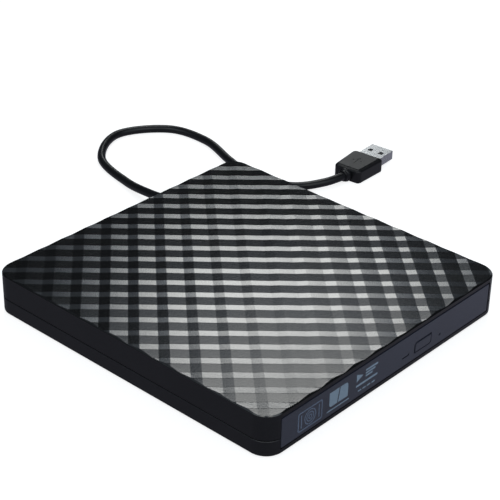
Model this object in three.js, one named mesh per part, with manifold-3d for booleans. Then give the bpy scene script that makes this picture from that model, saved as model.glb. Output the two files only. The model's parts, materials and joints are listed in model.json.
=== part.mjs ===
// External optical drive: a slim tray-loading disc drive in a two-part plastic case, with a fixed USB cable.
// Millimetres, +Z up. The origin is the centre of the flat underside; the tray opens towards -Y.
import * as THREE from 'three';
import { mergeVertices } from 'three/addons/utils/BufferGeometryUtils.js';
import Module from 'manifold-3d';

const wasm = await Module();
wasm.setup();

// ---------------------------------------------------------------- driving dimensions
const GAP = 0.3; // running clearance between neighbours

// The case: two rounded-rectangle shells that meet at a seam.
const CASE = { width: 142, depth: 148, height: 18.2, corner: 8, wall: 1.8, roof: 1.8, floor: 1.6 };
const SEAM = { z: 6.85, gap: 0.3, lowerWall: 2.8, lipHeight: 1.3, lipWall: 0.8 };
const OPENING = { halfWidth: 64.1, bottom: 2.1, top: 15.9 };
const FOOT = { x: 55, y: 58, radius: 4.5, stand: 0.8, sunk: 0.6, segments: 24 };
const PANEL = { halfWidth: 44, halfDepth: 46, groove: 0.8, grooveDepth: 0.4 };
const SCREW = { head: 1.8, headHeight: 0.9, shank: 0.8, length: 11, boss: 1.9, segments: 12 };
const SCREW_PLACES = [[-66.1, -60], [66.1, -60], [-58, 66], [58, 66]];
const BOARD_RESTS = { places: [[-30, 64], [36, 64]], radius: 2.5 };

// The slim drive: a standard 128 mm wide, 12.7 mm high sheet-metal housing.
const HOUSING = { halfWidth: 64, front: -70.4, back: 55.5, bottom: 2.3, top: 15, sheet: 0.5, wallTop: 9 };
const PORT_HOLE = { left: -30.6, right: -3.4, bottom: 3.9, top: 7.9 };
const BEZEL = { halfWidth: 63.6, bottom: 2.4, top: 14.95, front: -73.8, back: -71.8 };
const BUTTON = {
  left: 14.2, right: 25.3, bottom: 4.9, top: 9.9, bigCorner: 1.6, smallCorner: 1, flange: 0.9,
};
const LAMP = { left: 6.8, right: 10.9, bottom: 5.9, slot: 0.4, wedge: 1.15, windowTop: 8 };
const SWITCH = { left: 17.5, right: 22, bottom: 5.2, top: 9, depth: 2 };
const PINHOLE = { x: 30.9, z: 6.1, radius: 0.65 };

// The disc and the tray that carries it.
const DISC = { y: -8.5, radius: 60, bottom: 11.8, hole: 7.5 };
const TRAY = { halfWidth: 62.9, front: -71.5, back: 54.2, top: 13.9, floor: 10.9, under: 9.7, wall: 1.9 };
const RECESS = { radius: 60.75, innerRadius: 40.5, innerFloor: 10.4 };
const WEB = { inner: 58.6, outer: 61.3, bottom: 4.8, front: -69.5, back: 53.6 };
const GROOVE = { bottom: 6.0, top: 8.2, depth: 1.3 };
const RAIL = { front: -62, back: 50, guideFront: -68, guideBack: 40, guideBottom: 4.8, guideTop: 9.4 };
// A sprung pusher at the tray's back, which nudges the tray open once the latch lets go.
const PUSHER = { x: 53, z: 7.4, rod: 0.8, head: 2.1, start: 31, headStart: 50, end: 54.4, guideHalf: 2.8 };
const SPRING = { radius: 1.7, wire: 0.25, turns: 6, start: 37, end: 49.5 };
const UNDER_COVER = { left: -57.8, right: 28, front: -69, back: 22, bottom: 4.4, top: 4.8 };

// The traverse: its group turns by -45 degrees, so its own -Y runs out along the pickup's path.
const TRAVERSE = { turn: -Math.PI / 4, plateBottom: 6.2, plateTop: 7.2 };
const PICKUP = {
  innerRadius: 23.5, outerRadius: 58, bottom: 5.2, top: 9.4, half: 12.5, ahead: 5.5, behind: 8.5, chamfer: 3,
};
const ROD = { x: 15.2, z: 7.9, radius: 0.9, outer: -62.3, inner: -10.8 };
const LEAD_SCREW = {
  x: -21.5, z: 7.4, radius: 1.1, outer: -55.2, inner: 4, motorRadius: 2.5, motorStart: 2, motorLength: 10,
};
const DAMPER_PLACES = [[25.5, -38], [-30.5, -20], [0, 23.5]];
const DAMPER = { bore: 1.5, waist: 1.9, flange: 3.2, middle: 6.7, halfWaist: 0.8, halfHeight: 1.6 };
const SPINDLE = {
  rotor: 11.4, flange: 13.2, base: 7.3, rotorBottom: 8.4, rotorTop: 10.4, shaft: 1.2, round: 32,
};
const TURNTABLE = {
  bottom: 10.5, top: 13.9, slotBottom: 12.6, ringInner: 10, ringOuter: 13, ringBottom: 11.55,
};
// Outlines in the traverse's own frame, seen from above.
const WINDOW_OUTLINE = [[-24.5, 17.2], [-24.5, -57], [-16.5, -65], [17.5, -65], [19.5, -63], [19.5, 17.2]];
const COVER_OUTLINE = [
  [-24.1, 16.8], [-24.1, -56.8], [-16.3, -64.6], [17.3, -64.6], [19.1, -62.8], [19.1, 16.8],
];
const CHASSIS_OUTLINE = [[-26.5, 19], [-26.5, -54], [-14.2, -66.3], [16.8, -66.3], [21, -62], [21, 19]];
const PICKUP_SLOT = { halfWidth: 17.6, inner: -14, outer: -59.4, endHalfWidth: 13.3, end: -64.6 };
const EAR_BRIDGES = [[20, 25.5, -42, -34], [-30.5, -26, -24, -16], [-4, 4, 18, 23.5]];
const SEAT_TOP = 9.3; // of the seats that hold the rods and the lead screw

// The latch that holds the tray shut: a lever on the tray and a post on the housing floor.
const LATCH = { x: 43, y: -66, bottom: 5.6, top: 6.8, released: -17 * Math.PI / 180, armLength: 12 };
const SOLENOID = {
  z: 6.6, radius: 2, start: 51.5, end: 57.6, bore: 1.1, boreEnd: 56.8, plunger: 0.7, plungerStart: 48.6,
};
const POST = { x: 38, y: -58, radius: 1.3, top: 7 };

// Boards, cable and plug.
const BOARD = { thickness: 0.8, bottom: 3.1, halfWidth: 50, front: 27, back: 54 };
const BRIDGE = { left: -36, right: 42, front: 57.6, back: 68.4, bottom: 2.9, thickness: 1 };
const CHIP = { left: 4, right: 18, front: 33, back: 47, height: 1 };
const CONNECTOR = { left: -30, right: -4, front: 49, back: 57.2, top: 7.6 };
const SOCKET = { left: -31, right: -3, depth: 5, top: 8.2 };
const SOLDER_GAP = 0.05; // under a component that sits on a board
const RIBBON = {
  left: -34, right: -18, thickness: 0.2, lower: 3.0, upper: 4.0, fold: -36, end: 23, turnUp: 1.6,
};
const CABLE = { x: 35.3, z: 6.85, radius: 2, sides: 4, steps: 54, hole: 2.9 };
const PLUG = { x: 118.9, y: 44.7, z: 2.7, turn: 5 * Math.PI / 180, length: 19.7, height: 7 };
const GRIP = { cableWidth: 14.6, sleeveWidth: 17, corner: 1.6, collar: 3.1 };
const SLEEVE = { width: 12, height: 4.5, sheet: 0.3, reach: 12, sunk: 3 };

// ---------------------------------------------------------------- materials
function finish(color, roughness, metalness) {
  return new THREE.MeshStandardMaterial({ color, roughness, metalness });
}
const CASE_PLASTIC = finish(0x1f2023, 0.5, 0);
const BEZEL_PLASTIC = finish(0x353744, 0.4, 0);
const TRAY_PLASTIC = finish(0x1a1b1d, 0.55, 0);
const CABLE_PLASTIC = finish(0x1b1b1e, 0.45, 0);
const NYLON = finish(0xd8d4c8, 0.5, 0);
const RUBBER = finish(0x161616, 0.85, 0);
const STEEL = finish(0x9a9ca0, 0.35, 1);
const ZINC_SHEET = finish(0xb4b6b8, 0.4, 1);
const BRASS = finish(0xb89a5a, 0.35, 1);
const BOARD_GREEN = finish(0x1d4a2c, 0.5, 0);
const CHIP_BLACK = finish(0x141416, 0.45, 0);
const LAMP_PLASTIC = finish(0x3c4440, 0.2, 0);
const LENS_GLASS = finish(0x7a8fa8, 0.05, 0);
const FILM = finish(0xc9ccd0, 0.35, 0);

// ---------------------------------------------------------------- solids
function toSolid(geometry) {
  const bare = geometry.clone();
  bare.deleteAttribute('normal');
  bare.deleteAttribute('uv');
  const merged = mergeVertices(bare, 1e-4);
  const corners = merged.index.array;
  const triangles = [];
  for (let i = 0; i < corners.length; i += 3) {
    const [a, b, c] = corners.slice(i, i + 3);
    if (a !== b && b !== c && c !== a) triangles.push(a, b, c);
  }
  return new wasm.Manifold(new wasm.Mesh({
    numProp: 3,
    vertProperties: new Float32Array(merged.attributes.position.array),
    triVerts: new Uint32Array(triangles),
  }));
}

function toGeometry(solid) {
  const mesh = solid.getMesh();
  const geometry = new THREE.BufferGeometry();
  geometry.setAttribute('position', new THREE.BufferAttribute(new Float32Array(mesh.vertProperties), 3));
  geometry.setIndex(new THREE.BufferAttribute(new Uint32Array(mesh.triVerts), 1));
  return geometry;
}

function box(x0, x1, y0, y1, z0, z1) {
  const geometry = new THREE.BoxGeometry(x1 - x0, y1 - y0, z1 - z0);
  geometry.translate((x0 + x1) / 2, (y0 + y1) / 2, (z0 + z1) / 2);
  return toSolid(geometry);
}

function prism(shape, z0, z1, curveSegments = 6) {
  const geometry = new THREE.ExtrudeGeometry(shape, { depth: z1 - z0, bevelEnabled: false, curveSegments });
  geometry.translate(0, 0, z0);
  return toSolid(geometry);
}

function polygon(points) {
  return new THREE.Shape(points.map(([x, y]) => new THREE.Vector2(x, y)));
}

function roundedRectangle(x0, x1, y0, y1, radius) {
  const shape = new THREE.Shape();
  shape.absarc(x1 - radius, y1 - radius, radius, 0, Math.PI / 2);
  shape.absarc(x0 + radius, y1 - radius, radius, Math.PI / 2, Math.PI);
  shape.absarc(x0 + radius, y0 + radius, radius, Math.PI, 1.5 * Math.PI);
  shape.absarc(x1 - radius, y0 + radius, radius, 1.5 * Math.PI, 2 * Math.PI);
  return shape;
}

// A cylinder along Z, or along 'x' or 'y', from one end to the other.
function cylinder(radius, from, to, segments = 24, axis = 'z') {
  const geometry = new THREE.CylinderGeometry(radius, radius, to - from, segments);
  geometry.translate(0, (from + to) / 2, 0);
  if (axis === 'z') geometry.rotateX(Math.PI / 2);
  if (axis === 'x') geometry.rotateZ(-Math.PI / 2);
  return toSolid(geometry);
}

// A turned solid about Z from [radius, height] pairs.
function turned(profile, segments = 24) {
  const points = profile.map(([radius, height]) => new THREE.Vector2(radius, height));
  const geometry = new THREE.LatheGeometry(points, segments);
  geometry.rotateX(Math.PI / 2);
  return toSolid(geometry);
}

// A closed ring profile, turned about Z.
function turnedRing(profile, segments = 24) {
  return turned([...profile, profile[0]], segments);
}

function place(solid, x, y, z = 0, turnZ = 0) {
  return solid.rotate([0, 0, THREE.MathUtils.radToDeg(turnZ)]).translate([x, y, z]);
}

function join(first, ...others) {
  return others.reduce((sum, next) => sum.add(next), first);
}

function cut(body, ...tools) {
  return tools.reduce((rest, tool) => rest.subtract(tool), body);
}

function add(group, name, solid, material) {
  const mesh = new THREE.Mesh(toGeometry(solid), material);
  mesh.name = name;
  group.add(mesh);
}

function subGroup(parent, x = 0, y = 0, z = 0, turnZ = 0) {
  const group = new THREE.Group();
  group.position.set(x, y, z);
  group.rotation.z = turnZ;
  parent.add(group);
  return group;
}

const root = new THREE.Group();

// ---------------------------------------------------------------- case
function caseBlock(inset, z0, z1) {
  const x = CASE.width / 2 - inset;
  const y = CASE.depth / 2 - inset;
  return prism(roundedRectangle(-x, x, -y, y, CASE.corner - inset), z0, z1, 4);
}

function trayOpening() {
  const { halfWidth, bottom, top } = OPENING;
  const innerFace = -CASE.depth / 2 + SEAM.lowerWall + 0.2;
  return box(-halfWidth, halfWidth, -CASE.depth / 2 - 1, innerFace, bottom, top);
}

function cableHole() {
  const hole = cylinder(CABLE.hole, CASE.depth / 2 - 4, CASE.depth / 2 + 1, 16, 'y');
  return hole.translate([CABLE.x, 0, CABLE.z]);
}

function topCover() {
  const start = SEAM.z + SEAM.gap / 2;
  const ceiling = CASE.height - CASE.roof;
  const block = caseBlock(0, start, CASE.height);
  const shell = cut(block, caseBlock(CASE.wall, start - 1, ceiling), trayOpening(), cableHole());
  const bosses = SCREW_PLACES.map(([x, y]) => cut(
    place(cylinder(SCREW.boss, start + 0.4, ceiling + 0.1, SCREW.segments), x, y),
    place(cylinder(SCREW.shank + 0.15, start, SCREW.length + 2, SCREW.segments), x, y),
  ));
  return join(shell, ...bosses);
}

function bottomCover() {
  const end = SEAM.z - SEAM.gap / 2;
  const lipInset = SEAM.lowerWall - SEAM.lipWall;
  const hollow = caseBlock(SEAM.lowerWall, CASE.floor, SEAM.z + 5);
  const lip = caseBlock(lipInset, end - 0.5, end + SEAM.lipHeight);
  const shell = cut(join(caseBlock(0, 0, end), lip), hollow, trayOpening(), cableHole());
  const pillar = cylinder(SCREW.boss, CASE.floor - 0.2, end, SCREW.segments);
  const rest = cylinder(BOARD_RESTS.radius, CASE.floor - 0.2, BRIDGE.bottom - 0.1, 12);
  const footSeat = cylinder(FOOT.radius + 0.2, -1, FOOT.sunk + 0.1, FOOT.segments);
  const pillars = SCREW_PLACES.map(([x, y]) => place(pillar, x, y));
  const rests = BOARD_RESTS.places.map(([x, y]) => place(rest, x, y));
  const screwHoles = SCREW_PLACES.flatMap(([x, y]) => [
    place(cylinder(SCREW.shank + 0.3, -1, end + 1, SCREW.segments), x, y),
    place(cylinder(SCREW.head + 0.15, -1, SCREW.headHeight + 0.2, SCREW.segments), x, y),
  ]);
  const footSeats = footPlaces().map(([, x, y]) => place(footSeat, x, y));
  return cut(join(shell, ...pillars, ...rests), ...screwHoles, ...footSeats, panelGroove());
}

// A shallow groove round the middle of the underside.
function panelGroove() {
  const { halfWidth: x, halfDepth: y, groove, grooveDepth } = PANEL;
  const outer = box(-x - groove, x + groove, -y - groove, y + groove, -1, grooveDepth);
  return cut(outer, box(-x, x, -y, y, -2, grooveDepth + 1));
}

function footPlaces() {
  return [
    ['foot_front_left', -FOOT.x, -FOOT.y],
    ['foot_front_right', FOOT.x, -FOOT.y],
    ['foot_rear_left', -FOOT.x, FOOT.y],
    ['foot_rear_right', FOOT.x, FOOT.y],
  ];
}

function coverScrew() {
  const start = 0.15;
  const neck = start + SCREW.headHeight;
  return turned([[0, start], [SCREW.head, start], [SCREW.head, neck], [SCREW.shank, neck],
    [SCREW.shank, SCREW.length], [0, SCREW.length + 0.6]], SCREW.segments);
}

function addCase() {
  add(root, 'top_cover', topCover(), CASE_PLASTIC);
  add(root, 'bottom_cover', bottomCover(), CASE_PLASTIC);
  for (const [name, x, y] of footPlaces()) {
    add(subGroup(root, x, y), name, cylinder(FOOT.radius, -FOOT.stand, FOOT.sunk, FOOT.segments), RUBBER);
  }
  SCREW_PLACES.forEach(([x, y], i) => {
    add(subGroup(root, x, y), `cover_screw_${i + 1}`, coverScrew(), STEEL);
  });
}

// ---------------------------------------------------------------- drive housing and what it holds
function housingBase() {
  const { halfWidth: x, front, back, bottom, sheet, wallTop } = HOUSING;
  const floorTop = bottom + sheet;
  const hollow = box(-x + sheet, x - sheet, front - 1, back - sheet, floorTop, wallTop + 1);
  const tub = cut(box(-x, x, front, back, bottom, wallTop), hollow);
  const rear = box(-x + 1, x - 1, back - sheet, back, floorTop, HOUSING.top - 1);
  const portHole = box(PORT_HOLE.left, PORT_HOLE.right, back - 3, back + 3, PORT_HOLE.bottom, PORT_HOLE.top);
  return cut(join(tub, rear), portHole);
}

function housingLid() {
  const { halfWidth: x, front, back, top, sheet, wallTop } = HOUSING;
  const hollow = box(-x + sheet, x - sheet, front - 1, back + 1, wallTop - 1, top - sheet);
  return cut(box(-x, x, front, back, wallTop + GAP, top), hollow);
}

// A plastic channel on the housing wall; side is -1 or 1.
function railGuide(side) {
  const start = WEB.outer + GAP;
  const end = HOUSING.halfWidth - HOUSING.sheet - GAP;
  const { guideFront, guideBack, guideBottom, guideTop } = RAIL;
  const body = box(start, end, guideFront, guideBack, guideBottom, guideTop);
  const channel = box(start - 1, start + 1, guideFront - 1, guideBack + 1, GROOVE.bottom, GROOVE.top);
  const guide = cut(body, channel);
  return side < 0 ? guide.mirror([1, 0, 0]) : guide;
}

// The steel slide between the housing's channel and the tray's groove.
function slideRail(side) {
  const inner = WEB.outer - GROOVE.depth + GAP;
  const outer = WEB.outer + 1;
  const rail = box(inner, outer, RAIL.front, RAIL.back, GROOVE.bottom + GAP, GROOVE.top - GAP);
  return side < 0 ? rail.mirror([1, 0, 0]) : rail;
}

function mainBoard() {
  const { thickness, bottom, halfWidth: x, front, back } = BOARD;
  const plate = box(-x, x, front, back, bottom, bottom + thickness);
  const notch = box(RIBBON.left - 2, RIBBON.right + 2, front - 1, front + 3, bottom - 1, bottom + 2);
  return cut(plate, notch);
}

// The flat cable lies on the housing floor, folds back under the tray and turns up behind its cover.
function trayRibbon() {
  const { left, right, thickness: t, lower, upper, fold, end, turnUp } = RIBBON;
  const start = BOARD.front + 2.5;
  const middle = (lower + upper + t) / 2;
  const radius = middle - lower;
  const outline = new THREE.Shape();
  outline.moveTo(start, lower);
  outline.lineTo(fold, lower);
  outline.absarc(fold, middle, radius, 1.5 * Math.PI, Math.PI / 2, true);
  outline.lineTo(end, upper + t);
  outline.lineTo(end, upper + turnUp);
  outline.lineTo(end + t, upper + turnUp);
  outline.lineTo(end + t, upper);
  outline.absarc(fold, middle, radius - t, Math.PI / 2, 1.5 * Math.PI, false);
  outline.lineTo(start, lower + t);
  const depth = right - left;
  const geometry = new THREE.ExtrudeGeometry(outline, { depth, bevelEnabled: false, curveSegments: 4 });
  geometry.rotateX(Math.PI / 2);
  geometry.rotateZ(Math.PI / 2);
  geometry.translate(left, 0, 0);
  return toSolid(geometry);
}

function addDriveHousing() {
  add(root, 'drive_housing_base', housingBase(), ZINC_SHEET);
  add(root, 'drive_housing_lid', housingLid(), ZINC_SHEET);
  add(root, 'rail_guide_left', railGuide(-1), NYLON);
  add(root, 'rail_guide_right', railGuide(1), NYLON);
  add(root, 'slide_rail_left', slideRail(-1), STEEL);
  add(root, 'slide_rail_right', slideRail(1), STEEL);
  add(root, 'main_board', mainBoard(), BOARD_GREEN);
  const seat = BOARD.bottom + BOARD.thickness + SOLDER_GAP;
  const chip = box(CHIP.left, CHIP.right, CHIP.front, CHIP.back, seat, seat + CHIP.height);
  const { left, right, front, back, top } = CONNECTOR;
  add(root, 'controller_chip', chip, CHIP_BLACK);
  add(root, 'tray_ribbon', trayRibbon(), FILM);
  add(root, 'drive_connector', box(left, right, front, back, seat, top), CHIP_BLACK);
  const post = cylinder(POST.radius, HOUSING.bottom + HOUSING.sheet + 0.05, POST.top, 16);
  add(subGroup(root, POST.x, POST.y), 'latch_post', post, STEEL);
}

// ---------------------------------------------------------------- tray
function traverseSpace(solid) {
  return place(solid, 0, DISC.y, 0, TRAVERSE.turn);
}

// The opening in the tray floor over the traverse, and the notch where the lens reaches the disc's rim.
function pickupWindow() {
  const window = prism(polygon(WINDOW_OUTLINE), TRAY.under - 1, TRAY.floor + 0.1);
  const inDisc = window.intersect(cylinder(DISC.radius, 0, TRAY.top, 48));
  const notch = box(-7.5, 7.5, -PICKUP.outerRadius - 4.8, -50, TRAY.under - 1, DISC.bottom - 0.4);
  return traverseSpace(join(inDisc, notch));
}

function trayWeb(side) {
  const web = cut(
    box(WEB.inner, WEB.outer, WEB.front, WEB.back, WEB.bottom, TRAY.under + 0.1),
    box(WEB.outer - GROOVE.depth, WEB.outer + 1, WEB.front - 1, WEB.back + 1, GROOVE.bottom, GROOVE.top),
  );
  return side < 0 ? web.mirror([1, 0, 0]) : web;
}

function trayBody() {
  const { halfWidth: x, front, back, top, floor, under, wall } = TRAY;
  const recess = place(cylinder(RECESS.radius, floor, top + 1, 72), 0, DISC.y);
  const innerRecess = place(cylinder(RECESS.innerRadius, RECESS.innerFloor, top, 48), 0, DISC.y);
  const deck = box(-x, x, front, back, under, top);
  const frontWall = box(-x, x, front, front + wall, 3.4, under + 0.1);
  const rearRib = box(-WEB.inner - 1, WEB.inner + 1, back - 1.2, back, 8.4, under + 0.1);
  const pivot = place(cylinder(1.5, LATCH.bottom - 0.4, under + 0.1, 16), LATCH.x, LATCH.y);
  const pusherGuide = box(PUSHER.x - PUSHER.guideHalf, PUSHER.x + PUSHER.guideHalf, 33, 35, 5.2, under + 0.1);
  const post = cylinder(DAMPER.bore - GAP, 5, under + 0.1, 12);
  const posts = DAMPER_PLACES.map(([px, py]) => traverseSpace(place(post, px, py)));
  const windowEnd = front + wall + 0.2;
  const buttonWindow = box(BUTTON.left - 1.8, BUTTON.right + 1.8, front - 1, windowEnd, 3, BUTTON.top + 1);
  const lampWindow = box(
    LAMP.left - 0.6, LAMP.right + 0.6, front - 1, windowEnd, LAMP.bottom - 0.6, LAMP.windowTop,
  );
  const pinPath = cylinder(PINHOLE.radius + 0.4, front - 1, front + wall + 1, 12, 'y');
  const rodBore = cylinder(PUSHER.rod + GAP, PUSHER.start - 1, SPRING.start, 12, 'y');
  const headBore = cylinder(PUSHER.head + 0.4, PUSHER.headStart, back + 2, 16, 'y');
  const pusherBore = join(rodBore, headBore).translate([PUSHER.x, 0, PUSHER.z]);
  const solid = join(
    cut(deck, recess, innerRecess), frontWall, rearRib, trayWeb(-1), trayWeb(1), pivot, pusherGuide, ...posts,
  );
  const pinBore = pinPath.translate([PINHOLE.x, 0, PINHOLE.z]);
  return cut(solid, pickupWindow(), buttonWindow, lampWindow, pinBore, pusherBore);
}

// The button's outline on the bezel, shrunk by an inset: two corners are rounded, two are sharp.
function buttonOutline(insetTopLeft, insetOther, grow = 0) {
  const x0 = BUTTON.left + insetTopLeft - grow;
  const x1 = BUTTON.right - insetOther + grow;
  const z0 = BUTTON.bottom + insetOther - grow;
  const z1 = BUTTON.top - insetTopLeft + grow;
  const { bigCorner: big, smallCorner: small } = BUTTON;
  const shape = new THREE.Shape();
  shape.moveTo(x0, z0);
  shape.lineTo(x1 - small, z0);
  shape.absarc(x1 - small, z0 + small, small, 1.5 * Math.PI, 2 * Math.PI);
  shape.lineTo(x1, z1);
  shape.absarc(x0 + big, z1 - big, big, Math.PI / 2, Math.PI);
  return shape;
}

// A solid whose outline is drawn on the front face, from one Y to another.
function frontPrism(shape, y0, y1) {
  const depth = y1 - y0;
  const geometry = new THREE.ExtrudeGeometry(shape, { depth, bevelEnabled: false, curveSegments: 4 });
  geometry.rotateX(Math.PI / 2);
  geometry.translate(0, y1, 0);
  return toSolid(geometry);
}

function lampOutline(grow) {
  const { left, right, bottom, slot, wedge } = LAMP;
  return polygon([
    [left - grow, bottom - grow], [right + grow, bottom - grow], [right + grow, bottom + wedge + grow],
    [right - 0.8, bottom + slot + grow], [left - grow, bottom + slot + grow],
  ]);
}

function frontBezel() {
  const { halfWidth: x, bottom, top, front, back } = BEZEL;
  const plate = box(-x, x, front, back, bottom, top);
  const pinhole = cylinder(PINHOLE.radius, front - 1, back + 1, 16, 'y').translate([PINHOLE.x, 0, PINHOLE.z]);
  const buttonHole = frontPrism(buttonOutline(0, 0), front - 1, back + 1);
  const lampHole = frontPrism(lampOutline(0.1), front - 1, back + 1);
  return cut(plate, buttonHole, lampHole, pinhole);
}

function ejectButton() {
  const cap = frontPrism(buttonOutline(0.45, 0.25), BEZEL.front - 0.1, BEZEL.back + 0.4);
  const flange = frontPrism(buttonOutline(0, 0, BUTTON.flange), BEZEL.back + 0.3, BEZEL.back + 1);
  return join(cap, flange);
}

function ejectSwitch() {
  const front = TRAY.front + TRAY.wall + 0.1;
  return box(SWITCH.left, SWITCH.right, front, front + SWITCH.depth, SWITCH.bottom, SWITCH.top);
}

function ejectSpring() {
  const { radius, turns, start, end } = SPRING;
  class Helix extends THREE.Curve {
    getPoint(t, target = new THREE.Vector3()) {
      const angle = 2 * Math.PI * turns * t;
      return target.set(radius * Math.cos(angle), start + (end - start) * t, radius * Math.sin(angle));
    }
  }
  const wire = new THREE.Shape().absarc(0, 0, SPRING.wire, 0, 2 * Math.PI);
  const path = { steps: turns * 9, curveSegments: 2, extrudePath: new Helix() };
  const geometry = new THREE.ExtrudeGeometry(wire, path);
  geometry.translate(PUSHER.x, 0, PUSHER.z);
  return toSolid(geometry);
}

function ejectPusher() {
  const rod = cylinder(PUSHER.rod, PUSHER.start, PUSHER.headStart + 0.5, 12, 'y');
  const head = cylinder(PUSHER.head, PUSHER.headStart, PUSHER.end, 16, 'y');
  return join(rod, head).translate([PUSHER.x, 0, PUSHER.z]);
}

function addTray() {
  add(root, 'tray_body', trayBody(), TRAY_PLASTIC);
  add(root, 'front_bezel', frontBezel(), BEZEL_PLASTIC);
  const lens = frontPrism(lampOutline(-0.05), BEZEL.front + 0.1, TRAY.front + 1);
  add(root, 'indicator_lens', lens, LAMP_PLASTIC);
  add(root, 'eject_button', ejectButton(), BEZEL_PLASTIC);
  add(root, 'eject_switch', ejectSwitch(), CHIP_BLACK);
  const { left, right, front, back, bottom, top } = UNDER_COVER;
  add(root, 'tray_under_cover', box(left, right, front, back, bottom, top), ZINC_SHEET);
  add(root, 'eject_pusher', ejectPusher(), NYLON);
  add(root, 'eject_spring', ejectSpring(), STEEL);
}

// ---------------------------------------------------------------- latch
// Drawn engaged about its pivot, then turned to the released position.
function latchLever() {
  const { bottom, top, armLength } = LATCH;
  const hookArm = box(-1.3, 1.3, 0, armLength, bottom, top);
  const tooth = box(-6.8, 0, armLength - 2.3, armLength - 0.7, bottom, top);
  const releaseArm = box(-13.5, 0, -1.2, 1.2, bottom, top);
  const body = join(cylinder(3, bottom, top, 20), hookArm, tooth, releaseArm);
  return cut(body, cylinder(1.8, bottom - 1, top + 1, 16));
}

function addLatch() {
  const pivot = subGroup(root, LATCH.x, LATCH.y, 0, LATCH.released);
  add(pivot, 'latch_lever', latchLever(), NYLON);
  const { z, radius, start, end, bore, boreEnd, plunger, plungerStart } = SOLENOID;
  const coil = subGroup(root, 0, LATCH.y + LATCH.armLength - 1, z);
  const winding = cut(cylinder(radius, start, end, 20, 'x'), cylinder(bore, start - 1, boreEnd, 12, 'x'));
  add(coil, 'latch_solenoid', winding, BRASS);
  add(coil, 'solenoid_plunger', cylinder(plunger, plungerStart, boreEnd - 0.8, 12, 'x'), STEEL);
}

// ---------------------------------------------------------------- traverse: chassis, spindle, pickup, drive
function traverseChassis() {
  const { plateBottom: z0, plateTop: z1 } = TRAVERSE;
  const { halfWidth, inner, outer, endHalfWidth, end } = PICKUP_SLOT;
  const ear = cylinder(4, z0, z1, 20);
  const ears = DAMPER_PLACES.map(([x, y]) => place(ear, x, y));
  const earBridges = EAR_BRIDGES.map(([x0, x1, y0, y1]) => box(x0, x1, y0, y1, z0, z1));
  const pickupSlot = join(
    box(-halfWidth, halfWidth, outer, inner, z0 - 1, z1 + 1),
    box(-endHalfWidth, endHalfWidth, end, outer + 1, z0 - 1, z1 + 1),
  );
  const rodSeats = [-1, 1].flatMap((side) => [
    box(side * ROD.x - 2.2, side * ROD.x + 2.2, ROD.outer - 0.4, ROD.outer + 2, z1 - 0.1, SEAT_TOP),
    box(side * ROD.x - 2.2, side * ROD.x + 2.2, ROD.inner - 2.4, ROD.inner + 0.6, z1 - 0.1, SEAT_TOP),
  ]);
  const notchHalf = ROD.radius + GAP;
  const rodNotch = box(
    -notchHalf, notchHalf, ROD.outer - GAP, ROD.inner + GAP, ROD.z - notchHalf, SEAT_TOP + 1,
  );
  const rodNotches = [-1, 1].map((side) => place(rodNotch, side * ROD.x, 0));
  const screwEnd = LEAD_SCREW.outer + 1.6;
  const screwSeat = box(LEAD_SCREW.x - 2, LEAD_SCREW.x + 2, screwEnd - 2, screwEnd, z0, SEAT_TOP);
  const screwRoom = cylinder(LEAD_SCREW.radius + GAP, LEAD_SCREW.outer - GAP, 0, 16, 'y');
  const screwBore = screwRoom.translate([LEAD_SCREW.x, 0, LEAD_SCREW.z]);
  const screwSlot = join(
    box(LEAD_SCREW.x - 2.9, LEAD_SCREW.x + 2.9, screwEnd, 12.6, z0 - 1, z1 + 1),
    box(LEAD_SCREW.x, -17.5, screwEnd, inner, z0 - 1, z1 + 1),
  );
  const damperHole = cylinder(DAMPER.waist + GAP, z0 - 1, z1 + 1, 20);
  const damperHoles = DAMPER_PLACES.map(([x, y]) => place(damperHole, x, y));
  const sheet = join(prism(polygon(CHASSIS_OUTLINE), z0, z1), ...ears, ...earBridges);
  const plate = cut(sheet, pickupSlot, screwSlot);
  const motorRests = box(-26.5, -16.6, 12.2, 19, z0, z1);
  return cut(join(plate, ...rodSeats, screwSeat, motorRests), ...rodNotches, screwBore, ...damperHoles);
}

function damper() {
  const { bore, waist, flange, middle, halfWaist, halfHeight } = DAMPER;
  return turnedRing([
    [bore, -halfHeight], [flange, -halfHeight], [flange, -halfWaist], [waist, -halfWaist],
    [waist, halfWaist], [flange, halfWaist], [flange, halfHeight], [bore, halfHeight],
  ], 16).translate([0, 0, middle]);
}

function pickupCover() {
  const z = RECESS.innerFloor + 0.05;
  const insideDisc = cylinder(DISC.radius - 0.4, 0, TRAY.top, 48);
  const sheet = prism(polygon(COVER_OUTLINE), z, z + 0.3).intersect(insideDisc);
  const hubHole = cylinder(SPINDLE.flange + 1, z - 1, z + 1, 40);
  const lensSlot = box(-8, 8, -70, -10, z - 1, z + 1);
  return cut(sheet, hubHole, lensSlot);
}

function spindleStator() {
  const { base, shaft, round } = SPINDLE;
  const bore = shaft + 0.4;
  return turnedRing([
    [bore, base], [13, base], [13, base + 0.7], [9.6, base + 0.7], [9.6, base + 2], [bore, base + 2],
  ], round);
}

function spindleRotor() {
  const { rotor, shaft, base, rotorBottom, rotorTop, round } = SPINDLE;
  const underside = rotorTop - 0.7;
  return turned([
    [0, base + 0.2], [shaft, base + 0.2], [shaft, underside], [rotor - 1, underside],
    [rotor - 1, rotorBottom], [rotor, rotorBottom], [rotor, rotorTop], [0, rotorTop],
  ], round);
}

function turntable() {
  const hub = DISC.hole - 0.1;
  const { bottom, top, slotBottom, ringBottom } = TURNTABLE;
  const body = turned([
    [0, bottom], [SPINDLE.flange, bottom], [SPINDLE.flange, ringBottom - 0.15],
    [hub + 0.6, ringBottom - 0.05], [hub, DISC.bottom], [hub, top - 0.7], [hub - 1.2, top], [0, top],
  ], SPINDLE.round);
  const slot = box(4.6, 9, -1.7, 1.7, slotBottom, top + 0.6);
  const slots = clawTurns().map((turn) => place(slot, 0, 0, 0, turn));
  return cut(body, ...slots);
}

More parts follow.
